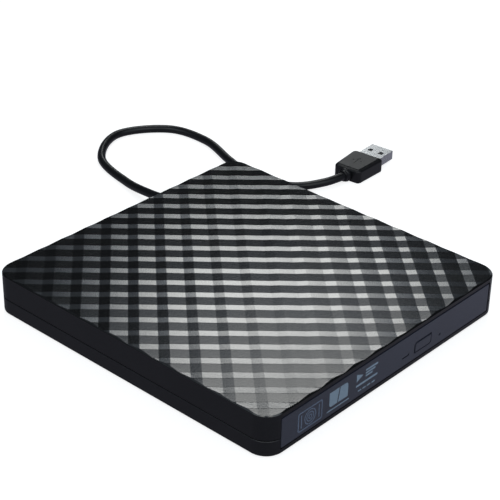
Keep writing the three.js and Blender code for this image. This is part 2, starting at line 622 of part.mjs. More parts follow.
// The rubber ring that the disc rests on.
function turntableRing() {
  const { ringInner, ringOuter, ringBottom } = TURNTABLE;
  return turnedRing([
    [ringInner, ringBottom], [ringOuter, ringBottom], [ringOuter, DISC.bottom], [ringInner, DISC.bottom],
  ], SPINDLE.round);
}

function clawTurns() {
  return [0, 1, 2].map((i) => i * 2 * Math.PI / 3);
}

// A sprung claw that snaps over the rim of the disc's hole; its outer end slopes.
function clampClaw() {
  const nose = polygon([[5, 12.9], [7.5, 12.95], [8.1, 13.3], [7, 13.75], [5, 13.75]]);
  const geometry = new THREE.ExtrudeGeometry(nose, { depth: 2.6, bevelEnabled: false });
  geometry.rotateX(Math.PI / 2);
  geometry.translate(0, 1.3, 0);
  return toSolid(geometry);
}

// The carriage of the optical pickup, drawn about its lens.
function pickupSled() {
  const { bottom, top, half, ahead, behind, chamfer } = PICKUP;
  const block = polygon([
    [-half, behind], [-half, chamfer - ahead], [chamfer - half, -ahead],
    [half - chamfer, -ahead], [half, chamfer - ahead], [half, behind],
  ]);
  const bearing = box(-17, -half + 0.1, 0, behind, 5.8, 9.5);
  const fork = box(half - 0.1, 17, 2, 6.5, 5.8, 9.5);
  const rodBore = cylinder(ROD.radius + GAP, -1, behind + 1, 16, 'y');
  const rodBores = [-1, 1].map((side) => rodBore.translate([side * ROD.x, 0, ROD.z]));
  const pocket = box(-6.5, 6.5, -4.4, 4.4, 6.8, 12);
  return cut(join(prism(block, bottom, top), bearing, fork), ...rodBores, pocket);
}

function sledNut() {
  const block = box(LEAD_SCREW.x - 2.2, -17.3, PICKUP.behind - 3, PICKUP.behind, 5.6, 9.4);
  const bore = cylinder(LEAD_SCREW.radius + GAP, PICKUP.behind - 4, PICKUP.behind + 1, 16, 'y');
  return cut(block, bore.translate([LEAD_SCREW.x, 0, LEAD_SCREW.z]));
}

function objectiveLens() {
  return turned([[0, 9.1], [1.3, 9.1], [1.3, 10.3], [1, 10.6], [0, 10.75]], 20);
}

function addTraverse() {
  const traverse = subGroup(root, 0, DISC.y, 0, TRAVERSE.turn);
  add(traverse, 'traverse_chassis', traverseChassis(), STEEL);
  DAMPER_PLACES.forEach(([x, y], i) => add(subGroup(traverse, x, y), `damper_${i + 1}`, damper(), RUBBER));
  add(traverse, 'pickup_cover', pickupCover(), ZINC_SHEET);
  for (const [name, side] of [['guide_rod_left', -1], ['guide_rod_right', 1]]) {
    const rod = cylinder(ROD.radius, ROD.outer, ROD.inner, 16, 'y');
    add(subGroup(traverse, side * ROD.x, 0, ROD.z), name, rod, STEEL);
  }
  const { radius, outer, inner, motorRadius, motorStart, motorLength } = LEAD_SCREW;
  const screw = subGroup(traverse, LEAD_SCREW.x, 0, LEAD_SCREW.z);
  add(screw, 'lead_screw', cylinder(radius, outer, inner, 16, 'y'), STEEL);
  const motor = cylinder(motorRadius, motorStart, motorStart + motorLength, 20, 'y');
  const motorBore = cylinder(radius + GAP, motorStart - 1, inner + GAP, 16, 'y');
  add(screw, 'sled_motor', cut(motor, motorBore), ZINC_SHEET);
  add(traverse, 'spindle_stator', spindleStator(), ZINC_SHEET);
  add(traverse, 'spindle_rotor', spindleRotor(), ZINC_SHEET);
  add(traverse, 'turntable', turntable(), TRAY_PLASTIC);
  add(traverse, 'turntable_ring', turntableRing(), RUBBER);
  clawTurns().forEach((turn, i) => {
    add(subGroup(traverse, 0, 0, 0, turn), `clamp_claw_${i + 1}`, clampClaw(), NYLON);
  });

  const sled = subGroup(traverse, 0, -PICKUP.innerRadius);
  add(sled, 'pickup_sled', pickupSled(), ZINC_SHEET);
  add(sled, 'sled_nut', sledNut(), NYLON);
  add(sled, 'lens_holder', cut(box(-5, 5, -3, 3, 8, 10.2), cylinder(1.6, 9, 12, 16)), CHIP_BLACK);
  add(sled, 'objective_lens', objectiveLens(), LENS_GLASS);
}

// ---------------------------------------------------------------- bridge board, cable and plug
function cableGrommet() {
  const bore = CABLE.radius + GAP;
  const wall = CASE.depth / 2;
  const profile = [
    [bore, wall - 5.2], [4, wall - 5.2], [4, wall - 3.2], [2.6, wall - 3.2], [2.6, wall + 0.3],
    [3.2, wall + 0.3], [3.2, wall + 1.6], [2.7, wall + 5], [bore, wall + 5],
  ];
  return turnedRing(profile, 16).rotate([-90, 0, 0]).translate([CABLE.x, 0, CABLE.z]);
}

// The cable leaves the rear wall, settles on the table and loops round to the plug.
function usbCable() {
  const onTable = 1.25;
  const collarEnd = [PLUG.x - 3 * Math.cos(PLUG.turn), PLUG.y - 3 * Math.sin(PLUG.turn), PLUG.z];
  const extrudePath = new THREE.CatmullRomCurve3([
    [CABLE.x, 60, CABLE.z], [CABLE.x, 78, CABLE.z], [38, 95, 4.8], [42.5, 116, 1.6],
    [50.5, 143, onTable], [75, 156.5, onTable], [97.5, 142, onTable], [100.5, 120, onTable],
    [92.5, 96, onTable], [87, 75, onTable], [93.5, 56, 1.4], [105, 47, 2.4],
    collarEnd, [PLUG.x, PLUG.y, PLUG.z],
  ].map((point) => new THREE.Vector3(...point)));
  const section = new THREE.Shape().absarc(0, 0, CABLE.radius, 0, 2 * Math.PI);
  const { steps, sides: curveSegments } = CABLE;
  return toSolid(new THREE.ExtrudeGeometry(section, { steps, curveSegments, extrudePath }));
}

// The grip from above: it widens from the cable's end to the sleeve's, and its corners are rounded.
function gripOutline() {
  const { cableWidth, sleeveWidth, corner } = GRIP;
  const near = cableWidth / 2;
  const far = sleeveWidth / 2;
  const shape = new THREE.Shape();
  shape.moveTo(corner, -near);
  shape.lineTo(PLUG.length - corner, -far);
  shape.quadraticCurveTo(PLUG.length, -far, PLUG.length, corner - far);
  shape.lineTo(PLUG.length, far - corner);
  shape.quadraticCurveTo(PLUG.length, far, PLUG.length - corner, far);
  shape.lineTo(corner, near);
  shape.quadraticCurveTo(0, near, 0, near - corner);
  shape.lineTo(0, corner - near);
  shape.quadraticCurveTo(0, -near, corner, -near);
  return shape;
}

// Drawn along +X from the end where the cable enters.
function plugBody() {
  const { length, height } = PLUG;
  const grip = prism(gripOutline(), -height / 2, height / 2, 3);
  const collar = cylinder(GRIP.collar, -2.6, 0.5, 16, 'x');
  const cableBore = cylinder(CABLE.radius + 0.5, -3, 1.2, 16, 'x');
  const gap = GAP / 2;
  const pocket = box(length - SLEEVE.sunk - GAP, length + 1, -SLEEVE.width / 2 - gap, SLEEVE.width / 2 + gap,
    -SLEEVE.height / 2 - gap, SLEEVE.height / 2 + gap);
  return cut(join(grip, collar), cableBore, pocket);
}

function plugShell() {
  const { width, height, sheet, reach, sunk } = SLEEVE;
  const start = PLUG.length - sunk;
  const end = PLUG.length + reach;
  const tube = cut(
    box(start, end, -width / 2, width / 2, -height / 2, height / 2),
    box(start - 1, end + 1, -width / 2 + sheet, width / 2 - sheet, -height / 2 + sheet, height / 2 - sheet),
  );
  const window = box(end - 7.5, end - 5, -1.1, 1.1, -height, height);
  const windows = [-1, 1].map((side) => place(window, 0, side * 3));
  return cut(tube, ...windows);
}

function plugTongue() {
  const half = SLEEVE.width / 2 - SLEEVE.sheet - 0.2;
  const top = SLEEVE.height / 2 - SLEEVE.sheet - 0.1;
  return box(PLUG.length - SLEEVE.sunk + 0.2, PLUG.length + SLEEVE.reach - 0.6, -half, half, top - 1.9, top);
}

function addCableAndPlug() {
  const { left, right, front, back, bottom, thickness } = BRIDGE;
  const top = bottom + thickness;
  const socket = box(SOCKET.left, SOCKET.right, front, front + SOCKET.depth, top + SOLDER_GAP, SOCKET.top);
  add(root, 'bridge_board', box(left, right, front, back, bottom, top), BOARD_GREEN);
  add(root, 'bridge_socket', socket, CHIP_BLACK);
  add(root, 'usb_cable', usbCable(), CABLE_PLASTIC);
  add(root, 'cable_grommet', cableGrommet(), RUBBER);
  const plug = subGroup(root, PLUG.x, PLUG.y, PLUG.z, PLUG.turn);
  add(plug, 'usb_plug_body', plugBody(), CABLE_PLASTIC);
  add(plug, 'usb_plug_shell', plugShell(), STEEL);
  add(plug, 'usb_plug_tongue', plugTongue(), CHIP_BLACK);
}

addCase();
addDriveHousing();
addTray();
addLatch();
addTraverse();
addCableAndPlug();

export default root;
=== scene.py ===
"""External optical drive: its looks, light and camera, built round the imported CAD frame.

Meshes are drawn in millimetres with +Z up, and scaled to metres when they become objects.
"""
import json
import math

import bmesh
import bpy
from mathutils import Matrix, Vector


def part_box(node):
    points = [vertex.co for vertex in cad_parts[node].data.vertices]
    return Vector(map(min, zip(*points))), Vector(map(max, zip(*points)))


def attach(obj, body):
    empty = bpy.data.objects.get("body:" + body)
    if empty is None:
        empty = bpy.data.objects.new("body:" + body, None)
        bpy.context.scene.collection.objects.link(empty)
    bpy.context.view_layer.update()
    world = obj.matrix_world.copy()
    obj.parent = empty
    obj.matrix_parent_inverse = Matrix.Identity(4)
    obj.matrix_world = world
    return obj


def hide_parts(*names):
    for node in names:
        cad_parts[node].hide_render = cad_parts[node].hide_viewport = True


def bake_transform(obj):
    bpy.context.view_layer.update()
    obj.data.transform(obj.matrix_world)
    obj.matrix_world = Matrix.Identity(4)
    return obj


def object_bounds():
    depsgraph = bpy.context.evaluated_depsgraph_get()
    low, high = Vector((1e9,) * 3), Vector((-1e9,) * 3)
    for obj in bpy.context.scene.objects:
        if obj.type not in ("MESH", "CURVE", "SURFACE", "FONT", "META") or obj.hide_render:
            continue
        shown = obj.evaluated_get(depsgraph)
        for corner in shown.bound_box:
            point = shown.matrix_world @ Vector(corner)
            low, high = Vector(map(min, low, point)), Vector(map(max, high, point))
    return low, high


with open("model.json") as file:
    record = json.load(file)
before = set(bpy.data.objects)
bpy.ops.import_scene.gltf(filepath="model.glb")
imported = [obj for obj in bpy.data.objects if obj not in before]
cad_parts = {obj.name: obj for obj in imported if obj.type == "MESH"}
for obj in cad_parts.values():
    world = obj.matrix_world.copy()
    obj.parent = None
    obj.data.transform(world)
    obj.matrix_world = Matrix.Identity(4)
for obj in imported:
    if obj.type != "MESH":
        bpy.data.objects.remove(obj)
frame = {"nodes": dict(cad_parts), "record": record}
CAD_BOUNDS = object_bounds()

MM = 0.001
RECORD = frame["record"]
BODY_OF = {node: body for body, nodes in RECORD["behaviour"]["bodies"].items() for node in nodes}
SLOT_OF = {row["node"]: row["material_slot"] for row in RECORD["subparts"]}
JOINTS = {joint["name"]: joint for joint in RECORD["behaviour"]["joints"]}
MOUNTS = {mount["name"]: mount for mount in RECORD["mounts"]}


def box_mm(node):
    """Lowest and highest corner of a CAD node in millimetres."""
    low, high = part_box(node)
    return low / MM, high / MM


# ---------------------------------------------------------------- places taken from the frame
LID_LOW, LID_HIGH = box_mm("top_cover")
SHELL_HIGH = box_mm("bottom_cover")[1]
BEZEL_LOW = box_mm("front_bezel")[0]
HALF_X, HALF_Y = LID_HIGH.x, LID_HIGH.y
SPINDLE = Vector(JOINTS["spindle_spin"]["pos_m"]) / MM
TRAVERSE = Matrix.Translation((SPINDLE.x, SPINDLE.y, 0)) @ Matrix.Rotation(math.radians(-45), 4, "Z")

# ---------------------------------------------------------------- the case's own dimensions
CORNER = 8.0            # radius of the case's upright corners
CORNER_STEPS = 18
LID_WALL = 1.8
LID_CEILING = 16.4
# The slope round the lid that the relief runs out into: inset and height against the highest ridge.
RIM = [(0, -0.98), (0.03, -0.86), (0.1, -0.74), (0.2, -0.64), (0.72, 0.03)]
SEAM_CHAMFER = 0.2
SHELL_WALL = 2.8
SHELL_LIP = (2.0, 6.7)  # inset and start of the lip that the lid closes over
SHELL_FLOOR = 1.6
SHELL_EDGE = 0.8        # rounded lower edge
OPENING = {"half": 64.1, "bottom": 2.1, "top": 15.9, "inside": -71.0}
SCREW_PLACES = [(-66.1, -60), (66.1, -60), (-58, 66), (58, 66)]
FOOT_PLACES = [(x, y) for x in (-55, 55) for y in (-58, 58)]
PANEL = {"x": 44, "y": 46, "corner": 3, "groove": 0.8, "depth": 0.4}
CABLE_EXIT = Vector((35.3, HALF_Y, 6.85))
CABLE_RADIUS = 2.0
CABLE_HOLE = 2.9
CABLE_STEPS = 14        # points between two of the cable's own
CABLE_SIDES = 24
POST_RADIUS = 1.9
PILOT_HOLE = {"radius": 0.95, "end": 13}
SCREW_HOLE = [(2.15, -1), (1.95, 1.1), (1.1, 1.1), (1.1, 8)]
FOOT_HOLE = {"radius": 4.7, "depth": 0.7}
BOARD_POSTS = {"x": (-30, 36), "y": 64, "radius": 2.5, "top": 2.8}
SHARP_ANGLE = 25        # shading stops at creases of the relief's border and the marks
SPINDLE_SIDES = 96

# The lid's waffle relief is the sum of two zigzags. Each has a wave vector in turns per millimetre,
# the phases of its ridge and its valley, and a height.
RELIEF = (
    {"wave": (0.0786, 0.0747), "ridge": 0.717, "valley": 0.183, "height": 0.427},
    {"wave": (0.0643, -0.0614), "ridge": 0.050, "valley": 0.684, "height": 0.16},
)
RIDGE_WIDTH = 0.025     # share of a face that the flat strip along its ridge or valley takes


# ---------------------------------------------------------------- mesh building
def to_object(name, bm, matrix=None):
    """Turns a mesh in millimetres into a smooth-shaded object in metres."""
    bmesh.ops.recalc_face_normals(bm, faces=bm.faces)
    mesh = bpy.data.meshes.new(name)
    bm.to_mesh(mesh)
    bm.free()
    mesh.transform(Matrix.Scale(MM, 4) @ (matrix or Matrix.Identity(4)))
    mesh.shade_smooth()
    piece = bpy.data.objects.new(name, mesh)
    bpy.context.scene.collection.objects.link(piece)
    return piece


def add_ring(bm, previous, points):
    """Adds a ring of vertices and joins it to the previous one with quads."""
    ring = [bm.verts.new(point) for point in points]
    for i in range(len(ring)):
        j = (i + 1) % len(ring)
        bm.faces.new((previous[i], previous[j], ring[j], ring[i]))
    return ring


def add_rings(bm, rings, closed=False):
    """A solid from rings of points: capped at both ends, or closed on itself."""
    first = [bm.verts.new(point) for point in rings[0]]
    last = first
    for points in rings[1:]:
        last = add_ring(bm, last, points)
    if closed:
        for i in range(len(first)):
            j = (i + 1) % len(first)
            bm.faces.new((last[i], last[j], first[j], first[i]))
    else:
        bm.faces.new(first)
        bm.faces.new(last)


def add_box(bm, x0, x1, y0, y1, z0, z1):
    add_rings(bm, [[(x0, y0, z), (x1, y0, z), (x1, y1, z), (x0, y1, z)] for z in (z0, z1)])


def circle(radius, z, segments, x=0.0, y=0.0):
    turns = [2 * math.pi * i / segments for i in range(segments)]
    return [(x + radius * math.cos(a), y + radius * math.sin(a), z) for a in turns]


def add_turned(bm, profile, segments=64, closed=False, x=0.0, y=0.0):
    """A turned solid about Z from (radius, z) pairs, capped flat, or closed on itself as a ring."""
    add_rings(bm, [circle(radius, z, segments, x, y) for radius, z in profile], closed)


def rounded_rectangle(half_x, half_y, radius, steps=6, x=0.0, y=0.0):
    """Outline points, anticlockwise."""
    points = []
    for quarter in range(4):
        sign_x = 1 if quarter in (0, 3) else -1
        sign_y = 1 if quarter in (0, 1) else -1
        for i in range(steps + 1):
            turn = math.radians(90 * (quarter + i / steps))
            points.append((
                x + sign_x * (half_x - radius) + radius * math.cos(turn),
                y + sign_y * (half_y - radius) + radius * math.sin(turn),
            ))
    return points


def at_height(outline, z):
    return [(x, y, z) for x, y in outline]


def add_prism(bm, outline, z0, z1):
    add_rings(bm, [at_height(outline, z0), at_height(outline, z1)])


def add_tube(bm, path, radius, sides=16):
    """A round tube along points, capped at both ends. radius is a number or a function of the step."""
    radius_at = radius if callable(radius) else (lambda step: radius)
    normal = None
    rings = []
    for i, point in enumerate(path):
        ahead = (path[min(i + 1, len(path) - 1)] - path[max(i - 1, 0)]).normalized()
        if normal is None:
            normal = ahead.orthogonal()
        normal = (normal - ahead * normal.dot(ahead)).normalized()
        side = ahead.cross(normal)
        turns = [2 * math.pi * k / sides for k in range(sides)]
        rings.append([
            point + radius_at(i) * (normal * math.cos(a) + side * math.sin(a)) for a in turns
        ])
    add_rings(bm, rings)


def combine(piece, operation, build, matrix=None):
    """Adds to or cuts from a piece the solids that build() draws, and keeps the result as its mesh."""
    bm = bmesh.new()
    build(bm)
    tool = to_object("tool", bm, matrix)
    step = piece.modifiers.new("combine", "BOOLEAN")
    step.operation = operation
    step.solver = "EXACT"
    step.object = tool
    apply_modifiers(piece)
    bpy.data.objects.remove(tool)
    return piece


def apply_modifiers(piece):
    """Replaces the piece's mesh with the one its modifiers make."""
    graph = bpy.context.evaluated_depsgraph_get()
    mesh = bpy.data.meshes.new_from_object(piece.evaluated_get(graph))
    piece.modifiers.clear()
    piece.data = mesh


def mark_sharp(piece, angle):
    """Stops the shading from running over edges that turn by more than angle, in degrees."""
    bm = bmesh.new()
    bm.from_mesh(piece.data)
    for edge in bm.edges:
        edge.smooth = edge.calc_face_angle(0) < math.radians(angle)
    bm.to_mesh(piece.data)
    bm.free()


def round_edges(piece, width, segments=2, sharp=38):
    """Rounds a piece's sharp edges by width, in millimetres, and keeps its flat faces flat."""
    bevel = piece.modifiers.new("edges", "BEVEL")
    bevel.width = width * MM
    bevel.segments = segments
    bevel.limit_method = "ANGLE"
    bevel.angle_limit = math.radians(sharp)
    normals = piece.modifiers.new("normals", "WEIGHTED_NORMAL")
    normals.keep_sharp = False
    return piece


def soften(node, width=0.1, segments=2):
    """Rounds the edges of a CAD node through modifiers, leaving its own vertices alone."""
    piece = frame["nodes"][node]
    stored = piece.data.attributes.get("custom_normal")
    if stored:
        piece.data.attributes.remove(stored)
    piece.data.shade_smooth()
    weld = piece.modifiers.new("weld", "WELD")
    weld.merge_threshold = 0.002 * MM
    flatten = piece.modifiers.new("flatten", "DECIMATE")
    flatten.decimate_type = "DISSOLVE"
    flatten.angle_limit = math.radians(1)
    return round_edges(piece, width, segments)


def stand_for(piece, *nodes):
    """The piece shows in place of these CAD nodes and takes their body and material."""
    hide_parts(*nodes)
    ride_like(piece, nodes[0])
    return piece


def ride_like(piece, node, slot=None):
    """The piece moves with a CAD node's body and takes that node's slot, or the one named."""
    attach(piece, BODY_OF[node])
    slot = slot or SLOT_OF[node]
    piece.data.materials.clear()
    piece.data.materials.append(MATERIALS[slot])
    return piece


# ---------------------------------------------------------------- shader building
class Shader:
    """A short way to add and link a material's nodes."""

    def __init__(self, tree):
        self.tree = tree
        self.tree.nodes.clear()

    def set_input(self, node, socket, value):
        if isinstance(value, bpy.types.NodeSocket):
            self.tree.links.new(value, node.inputs[socket])
        else:
            node.inputs[socket].default_value = value

    def add(self, kind, inputs, **settings):
        """Adds a node with settings; inputs maps socket names or numbers to values or outputs."""
        node = self.tree.nodes.new(kind)
        for name, value in settings.items():
            setattr(node, name, value)
        for socket, value in inputs.items():
            self.set_input(node, socket, value)
        return node

    def math(self, operation, *values):
        return self.add("ShaderNodeMath", dict(enumerate(values)), operation=operation).outputs[0]

    def ramp(self, value, start, end, low=0.0, high=1.0):
        """low before start, high after end, smooth between them."""
        inputs = {"Value": value, "From Min": start, "From Max": end, "To Min": low, "To Max": high}
        return self.add("ShaderNodeMapRange", inputs, interpolation_type="SMOOTHSTEP").outputs[0]

    def mix(self, share, first, second):
        """Mixes two colours or two colour outputs."""
        inputs = {"Factor": share, "A": first, "B": second}
        node = self.add("ShaderNodeMix", {}, data_type="RGBA")
        colour_sockets = {"Factor": 0, "A": 6, "B": 7}
        for name, value in inputs.items():
            self.set_input(node, colour_sockets[name], value)
        return node.outputs[2]

    def noise(self, vector, size, detail=3.0):
        """Noise with features about size millimetres across."""
        inputs = {"Vector": vector, "Scale": 1 / (size * MM), "Detail": detail}
        return self.add("ShaderNodeTexNoise", inputs).outputs["Fac"]


def colour(red, green, blue):
    return (red, green, blue, 1.0)


def scaled(rgba, factor):
    return colour(*(min(1.0, channel * factor) for channel in rgba[:3]))


def new_material(name):
    material = bpy.data.materials.new(name + "_finish")
    material.use_nodes = True
    shader = Shader(material.node_tree)
    place = shader.add("ShaderNodeTexCoord", {}).outputs["Object"]
    return material, shader, place


def plastic(name, base, roughness, grain=0.25, depth=0.01, mottle=0.12, specular=0.5):
    """Moulded plastic: fine grain in the surface, and slight drifts of colour and gloss."""
    material, shader, place = new_material(name)
    drift = shader.noise(place, 22)
    speckle = shader.noise(place, grain, 4)
    tone = shader.mix(shader.ramp(drift, 0.3, 0.7), scaled(base, 1 - mottle), scaled(base, 1 + mottle))
    fleck = shader.mix(shader.ramp(speckle, 0.35, 0.65), scaled(base, 0.85), scaled(base, 1.15))
    gloss = shader.math("ADD", shader.ramp(drift, 0.2, 0.8, roughness * 0.92, roughness * 1.08),
                        shader.ramp(speckle, 0.3, 0.7, -0.01, 0.01))
    bump = shader.add("ShaderNodeBump", {"Height": speckle, "Distance": depth * MM, "Strength": 0.6})
    surface = shader.add("ShaderNodeBsdfPrincipled", {
        "Base Color": shader.mix(0.4, tone, fleck),
        "Roughness": gloss,
        "Specular IOR Level": specular,
        "Normal": bump.outputs[0],
    })
    shader.add("ShaderNodeOutputMaterial", {"Surface": surface.outputs[0]})
    return material


def metal(name, base, roughness, stretch=(1, 1, 1), grain=0.3):
    """Rolled or turned metal: streaks along one direction and faint stains."""
    material, shader, place = new_material(name)
    streak_place = shader.add("ShaderNodeMapping", {"Vector": place, "Scale": stretch}).outputs[0]
    streaks = shader.noise(streak_place, grain, 5)
    stain = shader.noise(place, 15)
    tone = shader.mix(shader.ramp(stain, 0.3, 0.7), scaled(base, 0.86), scaled(base, 1.08))
    gloss = shader.ramp(streaks, 0.25, 0.75, roughness - 0.08, roughness + 0.1)
    bump = shader.add("ShaderNodeBump", {"Height": streaks, "Distance": 0.006 * MM, "Strength": 0.5})
    surface = shader.add("ShaderNodeBsdfPrincipled", {
        "Base Color": tone, "Metallic": 1.0, "Roughness": gloss, "Normal": bump.outputs[0],
    })
    shader.add("ShaderNodeOutputMaterial", {"Surface": surface.outputs[0]})
    return material


def circuit_board(name):
    """Solder mask with tracks and plated pads."""
    material, shader, place = new_material(name)
    tracks = shader.add("ShaderNodeTexBrick", {
        "Vector": place, "Scale": 1 / (9 * MM), "Mortar Size": 0.03, "Brick Width": 0.9, "Row Height": 0.12,
    }).outputs["Fac"]
    pads = shader.add("ShaderNodeTexVoronoi", {"Vector": place, "Scale": 1 / (2.4 * MM)}).outputs["Distance"]
    mask = shader.mix(tracks, colour(0.012, 0.075, 0.03), colour(0.025, 0.13, 0.05))
    on_pad = shader.ramp(pads, 0.16, 0.2, 1.0, 0.0)
    surface = shader.add("ShaderNodeBsdfPrincipled", {
        "Base Color": shader.mix(on_pad, mask, colour(0.62, 0.6, 0.55)),
        "Metallic": on_pad,
        "Roughness": shader.ramp(shader.noise(place, 6), 0.3, 0.7, 0.3, 0.42),
    })
    shader.add("ShaderNodeOutputMaterial", {"Surface": surface.outputs[0]})
    return material


def flat_cable(name):
    """Clear film over parallel conductors that run along Y."""
    material, shader, place = new_material(name)
    across = shader.add("ShaderNodeSeparateXYZ", {"Vector": place}).outputs[0]
    phase = shader.math("FRACT", shader.math("MULTIPLY", across, 1 / (0.8 * MM)))
    conductor = shader.ramp(shader.math("ABSOLUTE", shader.math("SUBTRACT", phase, 0.5)), 0.28, 0.34)
    drift = shader.noise(place, 12)
    film = shader.mix(drift, colour(0.7, 0.7, 0.68), colour(0.82, 0.82, 0.8))
    surface = shader.add("ShaderNodeBsdfPrincipled", {
        "Base Color": shader.mix(conductor, colour(0.42, 0.42, 0.44), film),
        "Roughness": shader.ramp(drift, 0.3, 0.7, 0.25, 0.35),
    })
    shader.add("ShaderNodeOutputMaterial", {"Surface": surface.outputs[0]})
    return material


def coated_lens(name):
    """A dark clear lens whose coating turns from blue to violet towards its edge."""
    material, shader, place = new_material(name)
    facing = shader.add("ShaderNodeLayerWeight", {"Blend": 0.35}).outputs["Facing"]
    dust = shader.noise(place, 0.5)
    tint = shader.mix(facing, colour(0.05, 0.09, 0.22), colour(0.22, 0.06, 0.25))
    surface = shader.add("ShaderNodeBsdfPrincipled", {
        "Base Color": tint, "Roughness": shader.ramp(dust, 0.4, 0.8, 0.02, 0.07), "Coat Weight": 1.0,
        "Coat Roughness": 0.02,
    })
    shader.add("ShaderNodeOutputMaterial", {"Surface": surface.outputs[0]})
    return material


MATERIALS = {
    "case_plastic": plastic("case_plastic", colour(0.0105, 0.0106, 0.0128), 0.32, grain=0.3, depth=0.012,
                            specular=0.4),
    "lid_relief": plastic("lid_relief", colour(0.0055, 0.0057, 0.006), 0.11, grain=0.5, depth=0.025,
                          specular=0.62),
    "bezel_plastic": plastic("bezel_plastic", colour(0.036, 0.041, 0.062), 0.36, grain=0.15, depth=0.004,
                             specular=0.9),
    "tray_plastic": plastic("tray_plastic", colour(0.011, 0.011, 0.012), 0.42, grain=0.35, depth=0.02),
    "cable_jacket": plastic("cable_jacket", colour(0.0075, 0.0077, 0.009), 0.34, grain=0.3, depth=0.01,
                            specular=0.3),
    "nylon": plastic("nylon", colour(0.62, 0.59, 0.5), 0.42, grain=0.4, depth=0.008, mottle=0.05),
    "rubber": plastic("rubber", colour(0.012, 0.012, 0.012), 0.75, grain=0.3, depth=0.03),
    "chip_black": plastic("chip_black", colour(0.012, 0.012, 0.013), 0.5, grain=0.12, depth=0.01),
    "lamp_plastic": plastic("lamp_plastic", colour(0.004, 0.005, 0.005), 0.3, grain=0.6, depth=0.002,
                            specular=0.1),
    "mark_ink": plastic("mark_ink", colour(0.27, 0.36, 0.46), 0.45, grain=0.2, depth=0.004),
    "faint_ink": plastic("faint_ink", colour(0.14, 0.18, 0.26), 0.42, grain=0.2, depth=0.004),
    "steel": metal("steel", colour(0.56, 0.57, 0.58), 0.3, stretch=(1, 0.1, 1)),
    "zinc_sheet": metal("zinc_sheet", colour(0.6, 0.61, 0.62), 0.38, stretch=(1, 0.2, 1)),
    "cast_zinc": metal("cast_zinc", colour(0.48, 0.48, 0.5), 0.5, grain=0.5),
    "brass": metal("brass", colour(0.6, 0.42, 0.17), 0.32, stretch=(0.1, 1, 1)),
    "board_green": circuit_board("board_green"),
    "ribbon_film": flat_cable("ribbon_film"),
    "lens_glass": coated_lens("lens_glass"),
}


# ---------------------------------------------------------------- the case
def zigzag(turns, ridge, valley):
    """0 in a valley and 1 on a ridge, straight between them, with a flat strip along each."""
    rise = (ridge - valley) % 1
    share = (turns - valley) % 1
    level = share / rise if share < rise else (1 - share) / (1 - rise)
    return min(1.0, max(0.0, (level - RIDGE_WIDTH) / (1 - 2 * RIDGE_WIDTH)))


def relief_height(x, y):
    """The lid's height at a place: the highest ridge lies level with the CAD lid's top."""
    total = LID_HIGH.z - sum(wave["height"] for wave in RELIEF)
    for wave in RELIEF:
        turns = wave["wave"][0] * x + wave["wave"][1] * y
        total += wave["height"] * zigzag(turns, wave["ridge"], wave["valley"])
    return total


def crease_lines(wave):
    """The phases in one turn where the relief changes slope: both sides of each flat strip."""
    rise = (wave["ridge"] - wave["valley"]) % 1
    fall = 1 - rise
    return [
        wave["valley"] + rise * RIDGE_WIDTH, wave["ridge"] - rise * RIDGE_WIDTH,
        wave["ridge"] + fall * RIDGE_WIDTH, wave["valley"] - fall * RIDGE_WIDTH,
    ]


def cut_creases(bm, wave):
    """Cuts a flat face along every crease of one zigzag."""
    across = Vector((*wave["wave"], 0))
    reach = math.ceil(abs(across.x) * HALF_X + abs(across.y) * HALF_Y) + 1
    for turn in range(-reach, reach + 1):
        for phase in crease_lines(wave):
            point = across * ((turn + phase) / across.length_squared)
            geometry = bm.verts[:] + bm.edges[:] + bm.faces[:]
            bmesh.ops.bisect_plane(bm, geom=geometry, plane_co=point, plane_no=across, dist=1e-4)


def border_loop(bm):
    """The open border's vertices, in order."""
    start = next(edge for edge in bm.edges if edge.is_boundary)
    loop = [start.verts[0], start.verts[1]]
    edge = start
    while True:
        edge = next(e for e in loop[-1].link_edges if e.is_boundary and e is not edge)
        following = edge.other_vert(loop[-1])
        if following is loop[0]:
            return loop
        loop.append(following)


def on_outline(x, y, inset):
    """The point of the case's outline nearest to (x, y), moved in by inset."""
    core_x, core_y = HALF_X - CORNER, HALF_Y - CORNER
    centre = Vector((min(core_x, max(-core_x, x)), min(core_y, max(-core_y, y))))
    outward = (Vector((x, y)) - centre).normalized()
    return centre + outward * (CORNER - inset)


def ring_at(border, inset, z):
    """The points of a border on the case's outline, moved in by inset and put at a height."""
    places = [on_outline(x, y, inset) for x, y, _ in border]
    return [(place.x, place.y, z) for place in places]


def case_opening(bm):
    """The slot in the front that the tray comes out of."""
    front = -HALF_Y - 1
    half = OPENING["half"]
    add_box(bm, -half, half, front, OPENING["inside"], OPENING["bottom"], OPENING["top"])


def add_cable_hole(bm):
    path = [Vector((CABLE_EXIT.x, HALF_Y + offset, CABLE_EXIT.z)) for offset in (-4, 1)]
    add_tube(bm, path, CABLE_HOLE, 48)


def relief_block(bm):
    """A block larger than the case, with the relief as its top face."""
    reach_x, reach_y = HALF_X + 2, HALF_Y + 2
    corners = [(-reach_x, -reach_y), (reach_x, -reach_y), (reach_x, reach_y), (-reach_x, reach_y)]
    bm.faces.new([bm.verts.new(point) for point in at_height(corners, 0)])
    for wave in RELIEF:
        cut_creases(bm, wave)
    for vertex in bm.verts:
        vertex.co.z = relief_height(vertex.co.x, vertex.co.y)
    border = border_loop(bm)
    last = add_ring(bm, border, [(v.co.x, v.co.y, LID_LOW.z - 1) for v in border])
    bm.faces.new(last)


def lid_cavity(bm):
    outline = rounded_rectangle(HALF_X - LID_WALL, HALF_Y - LID_WALL, CORNER - LID_WALL, CORNER_STEPS)
    add_prism(bm, outline, LID_LOW.z - 2, LID_CEILING)


